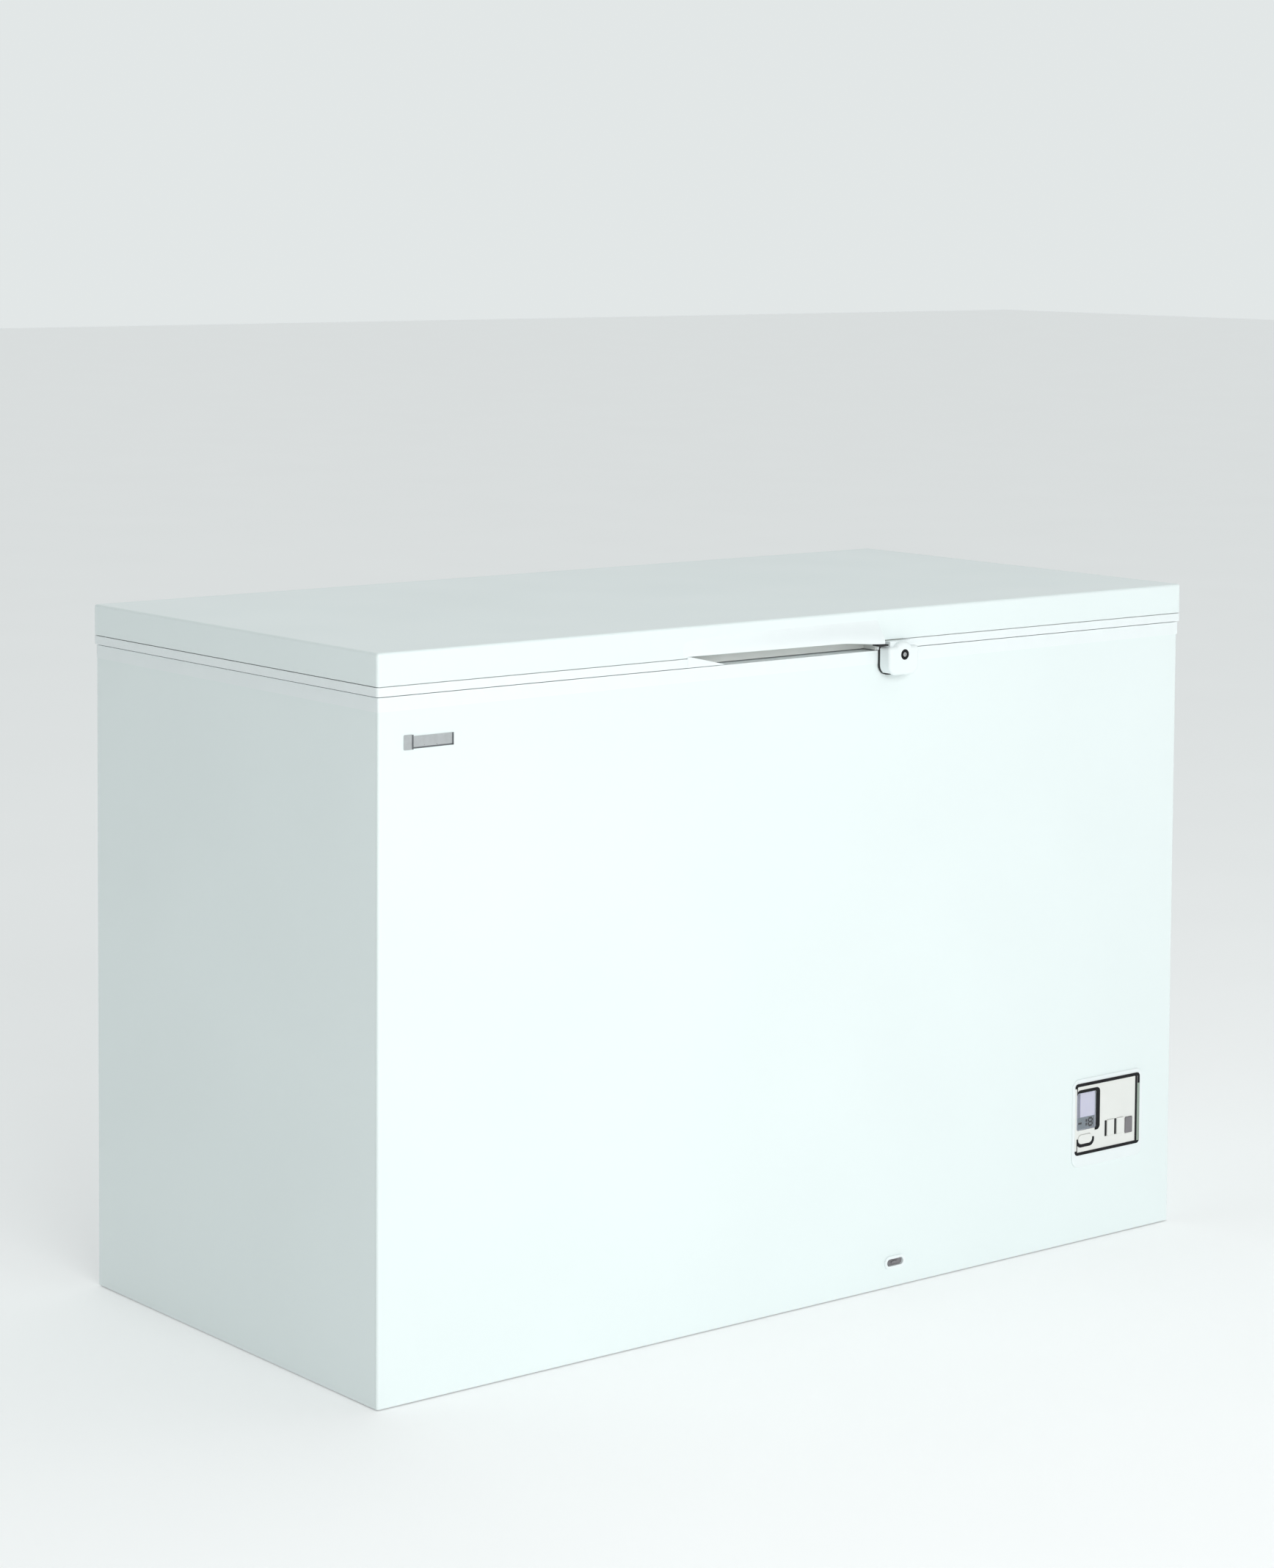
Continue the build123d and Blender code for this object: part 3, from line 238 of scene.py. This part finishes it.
def make_materials():
    """One finish per material slot of the record, and a few darker ones for trim and for painted shade."""
    peel = (("noise", 900.0, 0.03, 0.0001),)
    grain = (("noise", 1500.0, 0.12, 0.0003),)
    looks = {
        "white_enamel": (ENAMEL, dict(
            rough=0.30, coat=0.10, mottle=0.008, mottle_scale=6.0, rough_spread=0.02, bumps=peel,
            octaves=0.0,
        )),
        "white_plastic": (PLASTIC, dict(
            rough=0.34, mottle=0.01, bumps=grain, edge_tint=((0.93, 0.94, 0.94), 0.0012, 0.5),
        )),
        "zinc_sheet": ((0.56, 0.58, 0.59), dict(
            rough=0.38, metal=0.9, mottle=0.10, mottle_scale=22.0, rough_spread=0.10,
            bumps=(("cells", 60.0, 0.08, 0.0008),),
        )),
        "embossed_aluminium": ((0.80, 0.82, 0.83), dict(
            rough=0.32, metal=0.85, mottle=0.04, bumps=(("cells", 190.0, 0.35, 0.0008),), octaves=1.0,
        )),
        "rigid_foam": ((0.80, 0.74, 0.55), dict(
            rough=0.85, mottle=0.08, bumps=(("cells", 700.0, 0.5, 0.0008),),
        )),
        "copper_tube": ((0.68, 0.33, 0.20), dict(
            rough=0.32, metal=1.0, mottle=0.12, mottle_scale=45.0, rough_spread=0.12,
        )),
        "seal_rubber": ((0.74, 0.76, 0.77), dict(rough=0.55, mottle=0.03, bumps=grain)),
        "black_rubber": ((0.025, 0.025, 0.027), dict(rough=0.7, mottle=0.15, bumps=grain)),
        "black_plastic": ((0.008, 0.008, 0.010), dict(rough=0.55, mottle=0.1, bumps=grain, specular=0.25)),
        "cream_plastic": ((0.80, 0.81, 0.78), dict(rough=0.38, mottle=0.02, bumps=grain)),
        "grey_plastic": ((0.20, 0.19, 0.20), dict(
            rough=0.42, mottle=0.08, bumps=grain, edge_tint=((0.42, 0.42, 0.42), 0.0006, 0.5),
        )),
        "clear_lens": ((0.93, 0.93, 0.98), dict(
            rough=0.05, transmission=1.0, ior=1.49, mottle=0.01, rough_spread=0.02,
        )),
        # lcd_panel glows a little: painted light that lifts the pale field's brightness.
        "lcd_panel": ((0.80, 0.80, 0.90), dict(rough=0.35, mottle=0.02, mottle_scale=80.0, emission=0.22)),
        "circuit_board": ((0.03, 0.17, 0.07), dict(rough=0.4, mottle=0.2, mottle_scale=300.0)),
        "black_enamel": ((0.012, 0.012, 0.013), dict(rough=0.22, coat=0.3, mottle=0.1, bumps=peel)),
        "chrome_plate": ((0.72, 0.73, 0.74), dict(
            rough=0.14, metal=1.0, mottle=0.03, rough_spread=0.05,
            edge_tint=((0.45, 0.44, 0.42), 0.0005, 0.5),
        )),
        "satin_badge": ((0.52, 0.54, 0.55), dict(
            rough=0.36, metal=0.7, mottle=0.05, mottle_scale=200.0, rough_spread=0.10,
        )),
        "display_dim": ((0.30, 0.36, 0.38), dict(rough=0.35, mottle=0.05, mottle_scale=80.0)),
        # display_edge_painted_shade: painted shade for the darker left edge of the display field.
        "display_edge_painted_shade": ((0.42, 0.43, 0.50), dict(rough=0.35, mottle=0.05, mottle_scale=80.0)),
        # recess_painted_shade: a darker grey that paints the shade inside the handle's finger recess.
        "recess_painted_shade": ((0.66, 0.68, 0.66), dict(rough=0.45, mottle=0.03, bumps=grain)),
        # frame_chamfer_painted_shade: grey-green painted shade for the panel frame's shaded outer chamfer.
        "frame_chamfer_painted_shade": ((0.30, 0.36, 0.31), dict(rough=0.30, mottle=0.06, bumps=grain)),
        "badge_dark": ((0.16, 0.17, 0.18), dict(rough=0.35, metal=0.6, mottle=0.08, mottle_scale=200.0)),
        "coated_wire": ((0.86, 0.88, 0.89), dict(
            rough=0.36, mottle=0.02, mottle_scale=60.0, bumps=(("noise", 500.0, 0.15, 0.0004),),
        )),
    }
    return {name: material(name, colour, **look) for name, (colour, look) in looks.items()}


# ---------- mesh helpers ----------
def settle(piece, body, replaced=None):
    """Ties a finished piece to its body and hides the CAD node that it stands in for."""
    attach(piece, body)
    if replaced:
        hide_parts(replaced)


def mesh_object(name, verts, faces, finish, smooth=True, auto_angle=None):
    """A mesh object with one material, its vertices given in metres."""
    mesh = bpy.data.meshes.new(name)
    mesh.from_pydata([tuple(v) for v in verts], [], faces)
    mesh.validate()
    mesh.update()
    mesh.materials.append(finish)
    for polygon in mesh.polygons:
        polygon.use_smooth = smooth
    piece = bpy.data.objects.new(name, mesh)
    bpy.context.scene.collection.objects.link(piece)
    if auto_angle:
        mesh.set_sharp_from_angle(angle=math.radians(auto_angle))
    return piece


def tube_mesh(points, radius, sides=8, closed=False):
    """Vertices and faces of a round wire through the points, with its ends closed."""
    points = [Vector(p) for p in points]
    count = len(points)
    verts, faces = [], []
    side_dir = None
    for i, point in enumerate(points):
        ahead = points[(i + 1) % count] if closed or i < count - 1 else point
        behind = points[(i - 1) % count] if closed or i > 0 else point
        along = (ahead - behind).normalized()
        if side_dir is None:
            side_dir = along.orthogonal().normalized()
        side_dir = (side_dir - along * side_dir.dot(along)).normalized()
        up_dir = along.cross(side_dir)
        for k in range(sides):
            turn = 2 * math.pi * k / sides
            verts.append(point + radius * (math.cos(turn) * side_dir + math.sin(turn) * up_dir))
    rings = count if closed else count - 1
    for i in range(rings):
        a, b = i * sides, ((i + 1) % count) * sides
        for k in range(sides):
            n = (k + 1) % sides
            faces.append((a + k, a + n, b + n, b + k))
    if not closed:
        faces.append(tuple(range(sides))[::-1])
        faces.append(tuple(range((count - 1) * sides, count * sides)))
    return verts, faces


def join_meshes(parts):
    """Joins several (vertices, faces) pairs into one."""
    verts, faces = [], []
    for part_verts, part_faces in parts:
        start = len(verts)
        verts += part_verts
        faces += [tuple(start + i for i in face) for face in part_faces]
    return verts, faces


def rounded_path(half_x, half_y, radius, centre=(0, 0), z=0.0, steps=6):
    """Points round a rectangle with rounded corners, in a level plane."""
    points = []
    for sx, sy, start in ((1, 1, 0), (-1, 1, 90), (-1, -1, 180), (1, -1, 270)):
        cx, cy = centre[0] + sx * (half_x - radius), centre[1] + sy * (half_y - radius)
        for i in range(steps + 1):
            turn = math.radians(start + 90 * i / steps)
            points.append((cx + radius * math.cos(turn), cy + radius * math.sin(turn), z))
    return points


def round_corners(points, radius, steps=5):
    """An open run of points with each inner corner turned on a smooth bend."""
    points = [Vector(p) for p in points]
    out = [points[0]]
    for before, corner, after in zip(points, points[1:], points[2:]):
        into = (before - corner).normalized()
        away = (after - corner).normalized()
        reach = min(radius, (before - corner).length / 2, (after - corner).length / 2)
        start, end = corner + into * reach, corner + away * reach
        for i in range(steps + 1):
            t = i / steps
            out.append(start * (1 - t) ** 2 + corner * 2 * t * (1 - t) + end * t ** 2)
    out.append(points[-1])
    return out


def ring_mesh(profile, half_x, half_y, radius):
    """Sweeps a closed profile of (inset, z) points round a rounded rectangle."""
    rings = []
    for inset, z in profile:
        rings.append(rounded_path(half_x - inset, half_y - inset, max(radius - inset, 0.004), z=z, steps=8))
    count, length = len(rings), len(rings[0])
    verts = [Vector(p) for ring in rings for p in ring]
    faces = []
    for i in range(count):
        a, b = i * length, ((i + 1) % count) * length
        for k in range(length):
            n = (k + 1) % length
            faces.append((a + k, a + n, b + n, b + k))
    return verts, faces


def box_mesh(low, high):
    """A closed box between two corners."""
    (x0, y0, z0), (x1, y1, z1) = low, high
    verts = [Vector((x, y, z)) for x in (x0, x1) for y in (y0, y1) for z in (z0, z1)]
    faces = [(0, 1, 3, 2), (4, 6, 7, 5), (0, 4, 5, 1), (2, 3, 7, 6), (0, 2, 6, 4), (1, 5, 7, 3)]
    return verts, faces


def add_bevel(piece, width):
    bevel = piece.modifiers.new("bevel", "BEVEL")
    bevel.width = width
    bevel.segments = 2
    bevel.limit_method = "ANGLE"


# ---------- wire baskets ----------
RIM_R, WIRE_R = 2.6 * MM, 1.3 * MM
WIRE_PITCH = 24.0 * MM
BASKET_HALF_Y = 222.0 * MM
BASKET_CORNER = 22.0 * MM
BASKET_TAPER = 12.0 * MM
BAND_SPACES = 5
LAST_BAND_UP = 30.0 * MM
END_WIRE_IN = 20.0 * MM
HANGER_IN = 24.0 * MM
HANGER_BEND = 10.0 * MM


def wire_basket(node, body, finish):
    """A coated wire basket: heavy rim and hangers, U-shaped wires both ways and level bands."""
    low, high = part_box(node)
    cx = (low.x + high.x) / 2
    half_x, half_y = (high.x - low.x) / 2 - RIM_R, BASKET_HALF_Y
    rim_z, floor_z = high.z - RIM_R, low.z + WIRE_R
    parts = [tube_mesh(rounded_path(half_x, half_y, BASKET_CORNER, (cx, 0), rim_z), RIM_R, 10, True)]
    for i in range(1, BAND_SPACES):
        t = i / BAND_SPACES
        z = rim_z + (floor_z + LAST_BAND_UP - rim_z) * t
        inset = BASKET_TAPER * t
        band = rounded_path(half_x - inset, half_y - inset, BASKET_CORNER, (cx, 0), z)
        parts.append(tube_mesh(band, WIRE_R, 8, True))
    for axis, half, other in (("x", half_x, half_y), ("y", half_y, half_x)):
        count = round(2 * (half - END_WIRE_IN) / WIRE_PITCH)
        arm = other - WIRE_R * 0.6
        foot = arm - BASKET_TAPER
        base_z = floor_z + (2.2 * WIRE_R if axis == "y" else 0.0)
        run = [(-arm, rim_z), (-foot, base_z), (foot, base_z), (arm, rim_z)]
        for i in range(count + 1):
            s = -half + END_WIRE_IN + i * (2 * half - 2 * END_WIRE_IN) / count
            if axis == "x":
                route = [(cx + s, a, z) for a, z in run]
            else:
                route = [(cx + a, s, z) for a, z in run]
            parts.append(tube_mesh(round_corners(route, BASKET_CORNER), WIRE_R, 8))
    hanger_half = half_x - HANGER_IN
    for side in (-1, 1):
        start_y, end_y = side * half_y, side * (high.y - RIM_R)
        route = [(cx - hanger_half, start_y, rim_z), (cx - hanger_half, end_y, rim_z),
                 (cx + hanger_half, end_y, rim_z), (cx + hanger_half, start_y, rim_z)]
        parts.append(tube_mesh(round_corners(route, HANGER_BEND), RIM_R * 0.72, 8))
    basket = mesh_object(node + "_wires", *join_meshes(parts), finish)
    settle(basket, body, node)


# ---------- lid gasket ----------
GASKET_W = 16.0 * MM
GASKET_CORNER = 15.5 * MM


def bellows_gasket(finish):
    """The magnetic seal: a soft foot on the deck, a fold on each side and a dart in its groove."""
    low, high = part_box("lid_gasket")
    z0, z1 = low.z, high.z
    mid = GASKET_W / 2
    tall = z1 - z0
    profile = [
        (0.0, z0 + 0.30 * tall), (0.0008, z0 + 0.08 * tall), (0.0022, z0), (GASKET_W - 0.0022, z0),
        (GASKET_W - 0.0008, z0 + 0.08 * tall), (GASKET_W, z0 + 0.30 * tall),
        (GASKET_W - 0.0030, z0 + 0.46 * tall), (GASKET_W - 0.0008, z0 + 0.62 * tall),
        (mid + 0.0032, z0 + 0.74 * tall), (mid + 0.0030, z1),
        (mid - 0.0030, z1), (mid - 0.0032, z0 + 0.74 * tall), (0.0008, z0 + 0.62 * tall),
        (0.0030, z0 + 0.46 * tall),
    ]
    sweep = ring_mesh(profile, high.x, high.y, GASKET_CORNER)
    gasket = mesh_object("gasket_bellows", *sweep, finish, auto_angle=50)
    settle(gasket, "lid", "lid_gasket")


# ---------- hinge springs ----------
SPRING_WIRE_R = 1.1 * MM
SPRING_TURNS = 5
SPRING_FROM, SPRING_TO = 9.0 * MM, 20.0 * MM


def hinge_coils(finish):
    """Torsion springs wound round the hinge pins, two at each hinge."""
    low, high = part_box("hinge_springs")
    y, z = (low.y + high.y) / 2, (low.z + high.z) / 2
    wind = (high.z - low.z) / 2 - SPRING_WIRE_R
    steps = SPRING_TURNS * 20
    parts = []
    for centre in (low.x + SPRING_TO, high.x - SPRING_TO):
        for side in (-1, 1):
            start, end = side * (SPRING_FROM + SPRING_WIRE_R), side * (SPRING_TO - SPRING_WIRE_R)
            points = []
            for i in range(steps + 1):
                t = i / steps
                turn = 2 * math.pi * SPRING_TURNS * t
                x = centre + start + (end - start) * t
                points.append((x, y + wind * math.cos(turn), z + wind * math.sin(turn)))
            parts.append(tube_mesh(points, SPRING_WIRE_R, 8))
    coils = mesh_object("hinge_coils", *join_meshes(parts), finish)
    settle(coils, "cabinet", "hinge_springs")


# ---------- handle moulding ----------
FRONT_Y = -0.305
SLOT_X0, SLOT_X1 = -0.199, 0.102
RECESS_Y = -0.283
SLOT_FLOOR = 0.8012
SLOT_TOP = 0.814
HOOD_TOP = 0.8405
HOOD_PROUD = 0.0139
HOOD_START = 0.0009
HOOD_LEAD_IN = 0.012
LIP_R = 0.0012
LIP_DIP, LIP_DIP_FROM, LIP_DIP_OVER = 0.0045, 0.030, 0.075
RECESS_R = 0.005
RECESS_IN = 0.001
CHEEK_T = 0.003
WEDGE = ((0.0, 0.0), (0.056, 0.0), (0.052, 0.0014), (0.004, 0.0125), (0.0, 0.0128))


def ease(t):
    """A smooth step from 0 to 1."""
    t = min(1.0, max(0.0, t))
    return t * t * (3 - 2 * t)


def lip_z(x):
    """Height of the hood's lower lip; it dips where it meets the lock."""
    return SLOT_TOP - LIP_DIP * ease((x - LIP_DIP_FROM) / LIP_DIP_OVER)


def hood_proud(x):
    """How far the lip stands out of the lid's front."""
    if x < SLOT_X0:
        return 0.0012 * ease((x - SLOT_X0 + HOOD_LEAD_IN) / HOOD_LEAD_IN) - 0.0003
    return HOOD_START + (HOOD_PROUD - HOOD_START) * ((x - SLOT_X0) / (SLOT_X1 - SLOT_X0)) ** 1.1


def grid_mesh(rows):
    """Vertices and faces of a sheet given as rows of points."""
    width = len(rows[0])
    verts = [Vector(p) for row in rows for p in row]
    faces = []
    for i in range(len(rows) - 1):
        for k in range(width - 1):
            a = i * width + k
            faces.append((a, a + 1, a + width + 1, a + width))
    return verts, faces


def prism_mesh(outline, y0, y1):
    """A closed prism along Y from a run of (x, z) points."""
    count = len(outline)
    verts = [Vector((x, y, z)) for y in (y0, y1) for x, z in outline]
    faces = [tuple(range(count)), tuple(range(2 * count - 1, count - 1, -1))]
    for i in range(count):
        n = (i + 1) % count
        faces.append((i, count + i, count + n, n))
    return verts, faces


def hood_column(x):
    """The hood's section at one place: down its swelling face, round its lip and back."""
    proud, lip = hood_proud(x), lip_z(x)
    column = []
    for i in range(25):
        u = 1 - i / 24
        bulge = 0.5 * (1 + math.cos(math.pi * u))
        face_y = FRONT_Y - proud * bulge + 0.0003 * u
        column.append((x, face_y, lip + LIP_R + (HOOD_TOP - lip - LIP_R) * u))
    lip_r = min(LIP_R, max(proud, 0.0002))
    for i in range(1, 5):
        turn = math.radians(90 * i / 4)
        face_y = FRONT_Y - proud + lip_r * (1 - math.cos(turn))
        column.append((x, face_y, lip + LIP_R * (1 - math.sin(turn))))
    column.append((x, FRONT_Y + RECESS_IN, SLOT_TOP - 0.2 * (SLOT_TOP - lip)))
    return column


def recess_row(x):
    """The recess's section at one place: back along its ceiling and down its wall."""
    row = [(x, FRONT_Y + RECESS_IN, SLOT_TOP)]
    for i in range(7):
        turn = math.radians(90 * i / 6)
        wall_y = RECESS_Y - RECESS_R + RECESS_R * math.sin(turn)
        row.append((x, wall_y, SLOT_TOP - RECESS_R * (1 - math.cos(turn))))
    row.append((x, RECESS_Y, SLOT_FLOOR))
    return row


def handle_moulding(finishes):
    """The hood that swells from the lid's front, its lip, the finger recess in painted-shade grey and the two
    cheeks.
    """
    stations = [SLOT_X0 - HOOD_LEAD_IN + 0.002 * i for i in range(6)]
    stations += [SLOT_X0 + (SLOT_X1 - SLOT_X0) * i / 76 for i in range(77)]
    columns = [hood_column(x) for x in stations]
    end_verts = [Vector(point) for point in columns[-1]]
    end_cap = (end_verts, [tuple(range(len(end_verts)))])
    wedge = [(SLOT_X0 + dx, SLOT_FLOOR + dz) for dx, dz in WEDGE]
    parts = [grid_mesh(columns), end_cap, prism_mesh(wedge, FRONT_Y - 0.0006, RECESS_Y)]
    moulding = mesh_object("handle_moulding", *join_meshes(parts), finishes["white_plastic"], auto_angle=40)
    settle(moulding, "lid", "handle_grip")
    cheek_x = SLOT_X1 - CHEEK_T
    cheek = [(cheek_x, SLOT_FLOOR), (SLOT_X1, SLOT_FLOOR), (SLOT_X1, SLOT_TOP), (cheek_x, SLOT_TOP)]
    walls = grid_mesh([recess_row(SLOT_X0 + RECESS_IN), recess_row(SLOT_X1)])
    inside = [walls, prism_mesh(cheek, FRONT_Y + RECESS_IN, RECESS_Y)]
    # The recess walls carry painted shade: they are coloured darker than the white plastic.
    recess = mesh_object("handle_recess", *join_meshes(inside), finishes["recess_painted_shade"], auto_angle=40)
    settle(recess, "lid")


# ---------- lock details ----------
LOCK_X, LOCK_Z = 0.1295, 0.7955
CORE_R, LOCK_RING_R = 0.0026, 0.0064
KEYWAY_HALF_X, KEYWAY_HALF_Z = 0.0004, 0.0015
EDGE_OUT, EDGE_BEND, EDGE_W = 0.0004, 0.0134, 0.0026
EDGE_TOP, EDGE_END_X = 0.8100, 0.020
TOP_SHADOW_Z = (0.8068, 0.8088)


def ring_plate(radius_in, radius_out, y0, y1, sides=48):
    """A flat ring that faces -Y round the lock's axis."""
    verts, faces = [], []
    for k in range(sides):
        turn = 2 * math.pi * k / sides
        for radius, y in ((radius_in, y0), (radius_out, y0), (radius_out, y1), (radius_in, y1)):
            verts.append(Vector((LOCK_X + radius * math.cos(turn), y, LOCK_Z + radius * math.sin(turn))))
    for k in range(sides):
        n = (k + 1) % sides
        for i in range(4):
            j = (i + 1) % 4
            faces.append((4 * k + i, 4 * k + j, 4 * n + j, 4 * n + i))
    return verts, faces


def cylinder_face(finishes):
    """The black surround, bright core and keyway of the key cylinder; the keyway is a black sheet of painted
    shade.
    """
    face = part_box("lock_cylinder")[0].y
    ring_shape = ring_plate(CORE_R, LOCK_RING_R, face - 0.00015, face + 0.0006)
    ring = mesh_object("lock_ring", *ring_shape, finishes["black_plastic"], auto_angle=40)
    settle(ring, "lock_barrel")
    core_shape = ring_plate(0.0, CORE_R, face - 0.0001, face + 0.0002, 32)
    core = mesh_object("lock_core", *core_shape, finishes["chrome_plate"], auto_angle=40)
    settle(core, "lock_barrel")
    # Painted shade: the keyway slot is drawn as a thin black sheet.
    slit_shape = box_mesh((LOCK_X - KEYWAY_HALF_X, face - 0.00015, LOCK_Z - KEYWAY_HALF_Z),
                          (LOCK_X + KEYWAY_HALF_X, face, LOCK_Z + KEYWAY_HALF_Z))
    slit = mesh_object("lock_keyway_painted_shade", *slit_shape, finishes["black_plastic"], smooth=False)
    settle(slit, "lock_barrel")


def lock_painted_shadow(finishes):
    """Black rubber strips that paint the shadow gaps behind the lock's housing, down its left side, round its
    foot and on top.
    """
    low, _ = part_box("lock_housing")
    left, bottom = low.x - EDGE_OUT, low.z - EDGE_OUT
    path = [(left, EDGE_TOP), (left, bottom + EDGE_BEND)]
    for i in range(1, 9):
        turn = math.radians(90 * i / 8)
        path.append((left + EDGE_BEND * (1 - math.cos(turn)), bottom + EDGE_BEND * (1 - math.sin(turn))))
    path.append((low.x + EDGE_END_X, bottom))
    inner = []
    for i, (x, z) in enumerate(path):
        ahead, behind = path[min(i + 1, len(path) - 1)], path[max(i - 1, 0)]
        dx, dz = ahead[0] - behind[0], ahead[1] - behind[1]
        size = math.hypot(dx, dz)
        inner.append((x - EDGE_W * dz / size, z + EDGE_W * dx / size))
    strips = []
    for i in range(len(path) - 1):
        quad = [path[i], path[i + 1], inner[i + 1], inner[i]]
        strips.append(prism_mesh(quad, FRONT_Y - 0.0016, FRONT_Y + 0.0018))
    # Painted shadow: black strips fill the gap behind the housing's side and foot.
    edge = mesh_object("lock_edge_painted_shadow", *join_meshes(strips), finishes["black_rubber"], smooth=False)
    settle(edge, "lid")
    # Painted shadow: a black strip in the gap under the hood's lip above the housing.
    plate("lock_top_painted_shadow", (low.x - 0.012, FRONT_Y - 0.0125, TOP_SHADOW_Z[0]),
          (low.x + 0.004, FRONT_Y - 0.0010, TOP_SHADOW_Z[1]), finishes["black_rubber"], "lid")


# ---------- display ----------
SEGMENTS = {"8": "abcdefg", "1": "bc", "-": "g"}
SHOWN = (("-", -11.0 * MM), ("1", -3.0 * MM), ("8", 8.0 * MM))
DIGIT_W, DIGIT_H, DIGIT_STROKE = 7.2 * MM, 9.6 * MM, 2.4 * MM
DIGIT_UP = 0.0078
BAND_TALL, SHADE_WIDE = 0.0155, 0.0052
FIELD_IN = 0.0002


def digit_boxes(symbol, centre_x, centre_z, y0, y1):
    """The lit segments of one seven-segment character, as thin boxes."""
    half_w, half_h = DIGIT_W / 2, DIGIT_H / 2
    gap = DIGIT_STROKE * 0.25
    spots = {
        "a": (0, half_h, True), "g": (0, 0, True), "d": (0, -half_h, True),
        "f": (-half_w, half_h / 2, False), "b": (half_w, half_h / 2, False),
        "e": (-half_w, -half_h / 2, False), "c": (half_w, -half_h / 2, False),
    }
    boxes = []
    for key in SEGMENTS[symbol]:
        dx, dz, level = spots[key]
        long_half = (half_w if level else half_h / 2) - gap
        sx, sz = (long_half, DIGIT_STROKE / 2) if level else (DIGIT_STROKE / 2, long_half)
        x, z = centre_x + dx, centre_z + dz
        boxes.append(box_mesh((x - sx, y0, z - sz), (x + sx, y1, z + sz)))
    return boxes


def plate(name, low, high, finish, body, bevel=0.0003):
    """A thin bevelled plate or strip."""
    piece = mesh_object(name, *box_mesh(low, high), finish, smooth=False)
    add_bevel(piece, bevel)
    settle(piece, body)


def display_face(finishes):
    """What the display shows: a pale field, a darker band and a temperature, with painted shade down the
    field's left edge.
    """
    low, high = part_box("display_module")
    cx = (low.x + high.x) / 2
    left, right, band_top = low.x + FIELD_IN, high.x - FIELD_IN, low.z + BAND_TALL
    y0, y1 = low.y - 0.0001, low.y + 0.0002
    plate("display_band", (left, y0, low.z), (right, y1, band_top),
          finishes["display_dim"], "cabinet", 0.0)
    # Painted shade: a grey strip darkens the field's left edge.
    plate("display_painted_shade", (left, y0, band_top), (low.x + SHADE_WIDE, y1, high.z),
          finishes["display_edge_painted_shade"], "cabinet", 0.0)
    parts = []
    for symbol, dx in SHOWN:
        parts += digit_boxes(symbol, cx + dx, low.z + DIGIT_UP, low.y - 0.0003, low.y + 0.0001)
    digits = mesh_object("display_digits", *join_meshes(parts), finishes["black_plastic"], smooth=False)
    settle(digits, "cabinet")


def panel_trim(finishes):
    """Painted shade of the panel frame's outer chamfer as a flat grey-green strip, and the dark line beside
    it.
    """
    low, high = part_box("control_frame")
    y0, y1 = low.y - 0.0002, low.y + 0.0006
    # Painted shade: a flat grey-green strip stands for the shaded chamfer.
    plate("frame_side_painted_shade", (high.x - 0.0048, y0, low.z + 0.0035), (high.x - 0.0001, y1, high.z - 0.014),
          finishes["frame_chamfer_painted_shade"], "cabinet", 0.0004)
    plate("frame_line", (high.x - 0.0082, y0, low.z + 0.0025), (high.x - 0.0048, y1, high.z - 0.001),
          finishes["black_plastic"], "cabinet", 0.0003)


# ---------- badge ----------
# name, lower left and upper right corner on the front
BADGE_STRIPS = (
    ("badge_foot", (-0.5905, 0.7400), (-0.5355, 0.7417)),
    ("badge_end", (-0.5375, 0.7400), (-0.5350, 0.7540)),
    ("badge_joint", (-0.5922, 0.7392), (-0.5900, 0.7556)),
)


def badge_trim(finishes):
    """Dark strips along the foot, the right end and the joint of the blank badge plates."""
    low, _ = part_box("badge_plate")
    y0, y1 = low.y - 0.0003, low.y + 0.0003
    for name, (x0, z0), (x1, z1) in BADGE_STRIPS:
        plate(name, (x0, y0, z0), (x1, y1, z1), finishes["badge_dark"], "cabinet", 0.0002)


def main():
    """Finishes the carried-over nodes, then adds the camera, the stage and the visual pieces."""
    finishes = make_materials()
    add_camera()
    add_stage()
    slots = {s["node"]: s["material_slot"] for s in frame["record"]["subparts"]}
    for name, node in nodes.items():
        node.data.materials.clear()
        node.data.materials.append(finishes[slots[name]])
        node.data.set_sharp_from_angle(angle=math.radians(35))
    for side in ("left", "right"):
        wire_basket(f"basket_{side}", f"basket_{side}_body", finishes["coated_wire"])
    bellows_gasket(finishes["seal_rubber"])
    hinge_coils(finishes["chrome_plate"])
    handle_moulding(finishes)
    cylinder_face(finishes)
    lock_painted_shadow(finishes)
    display_face(finishes)
    panel_trim(finishes)
    badge_trim(finishes)


main()
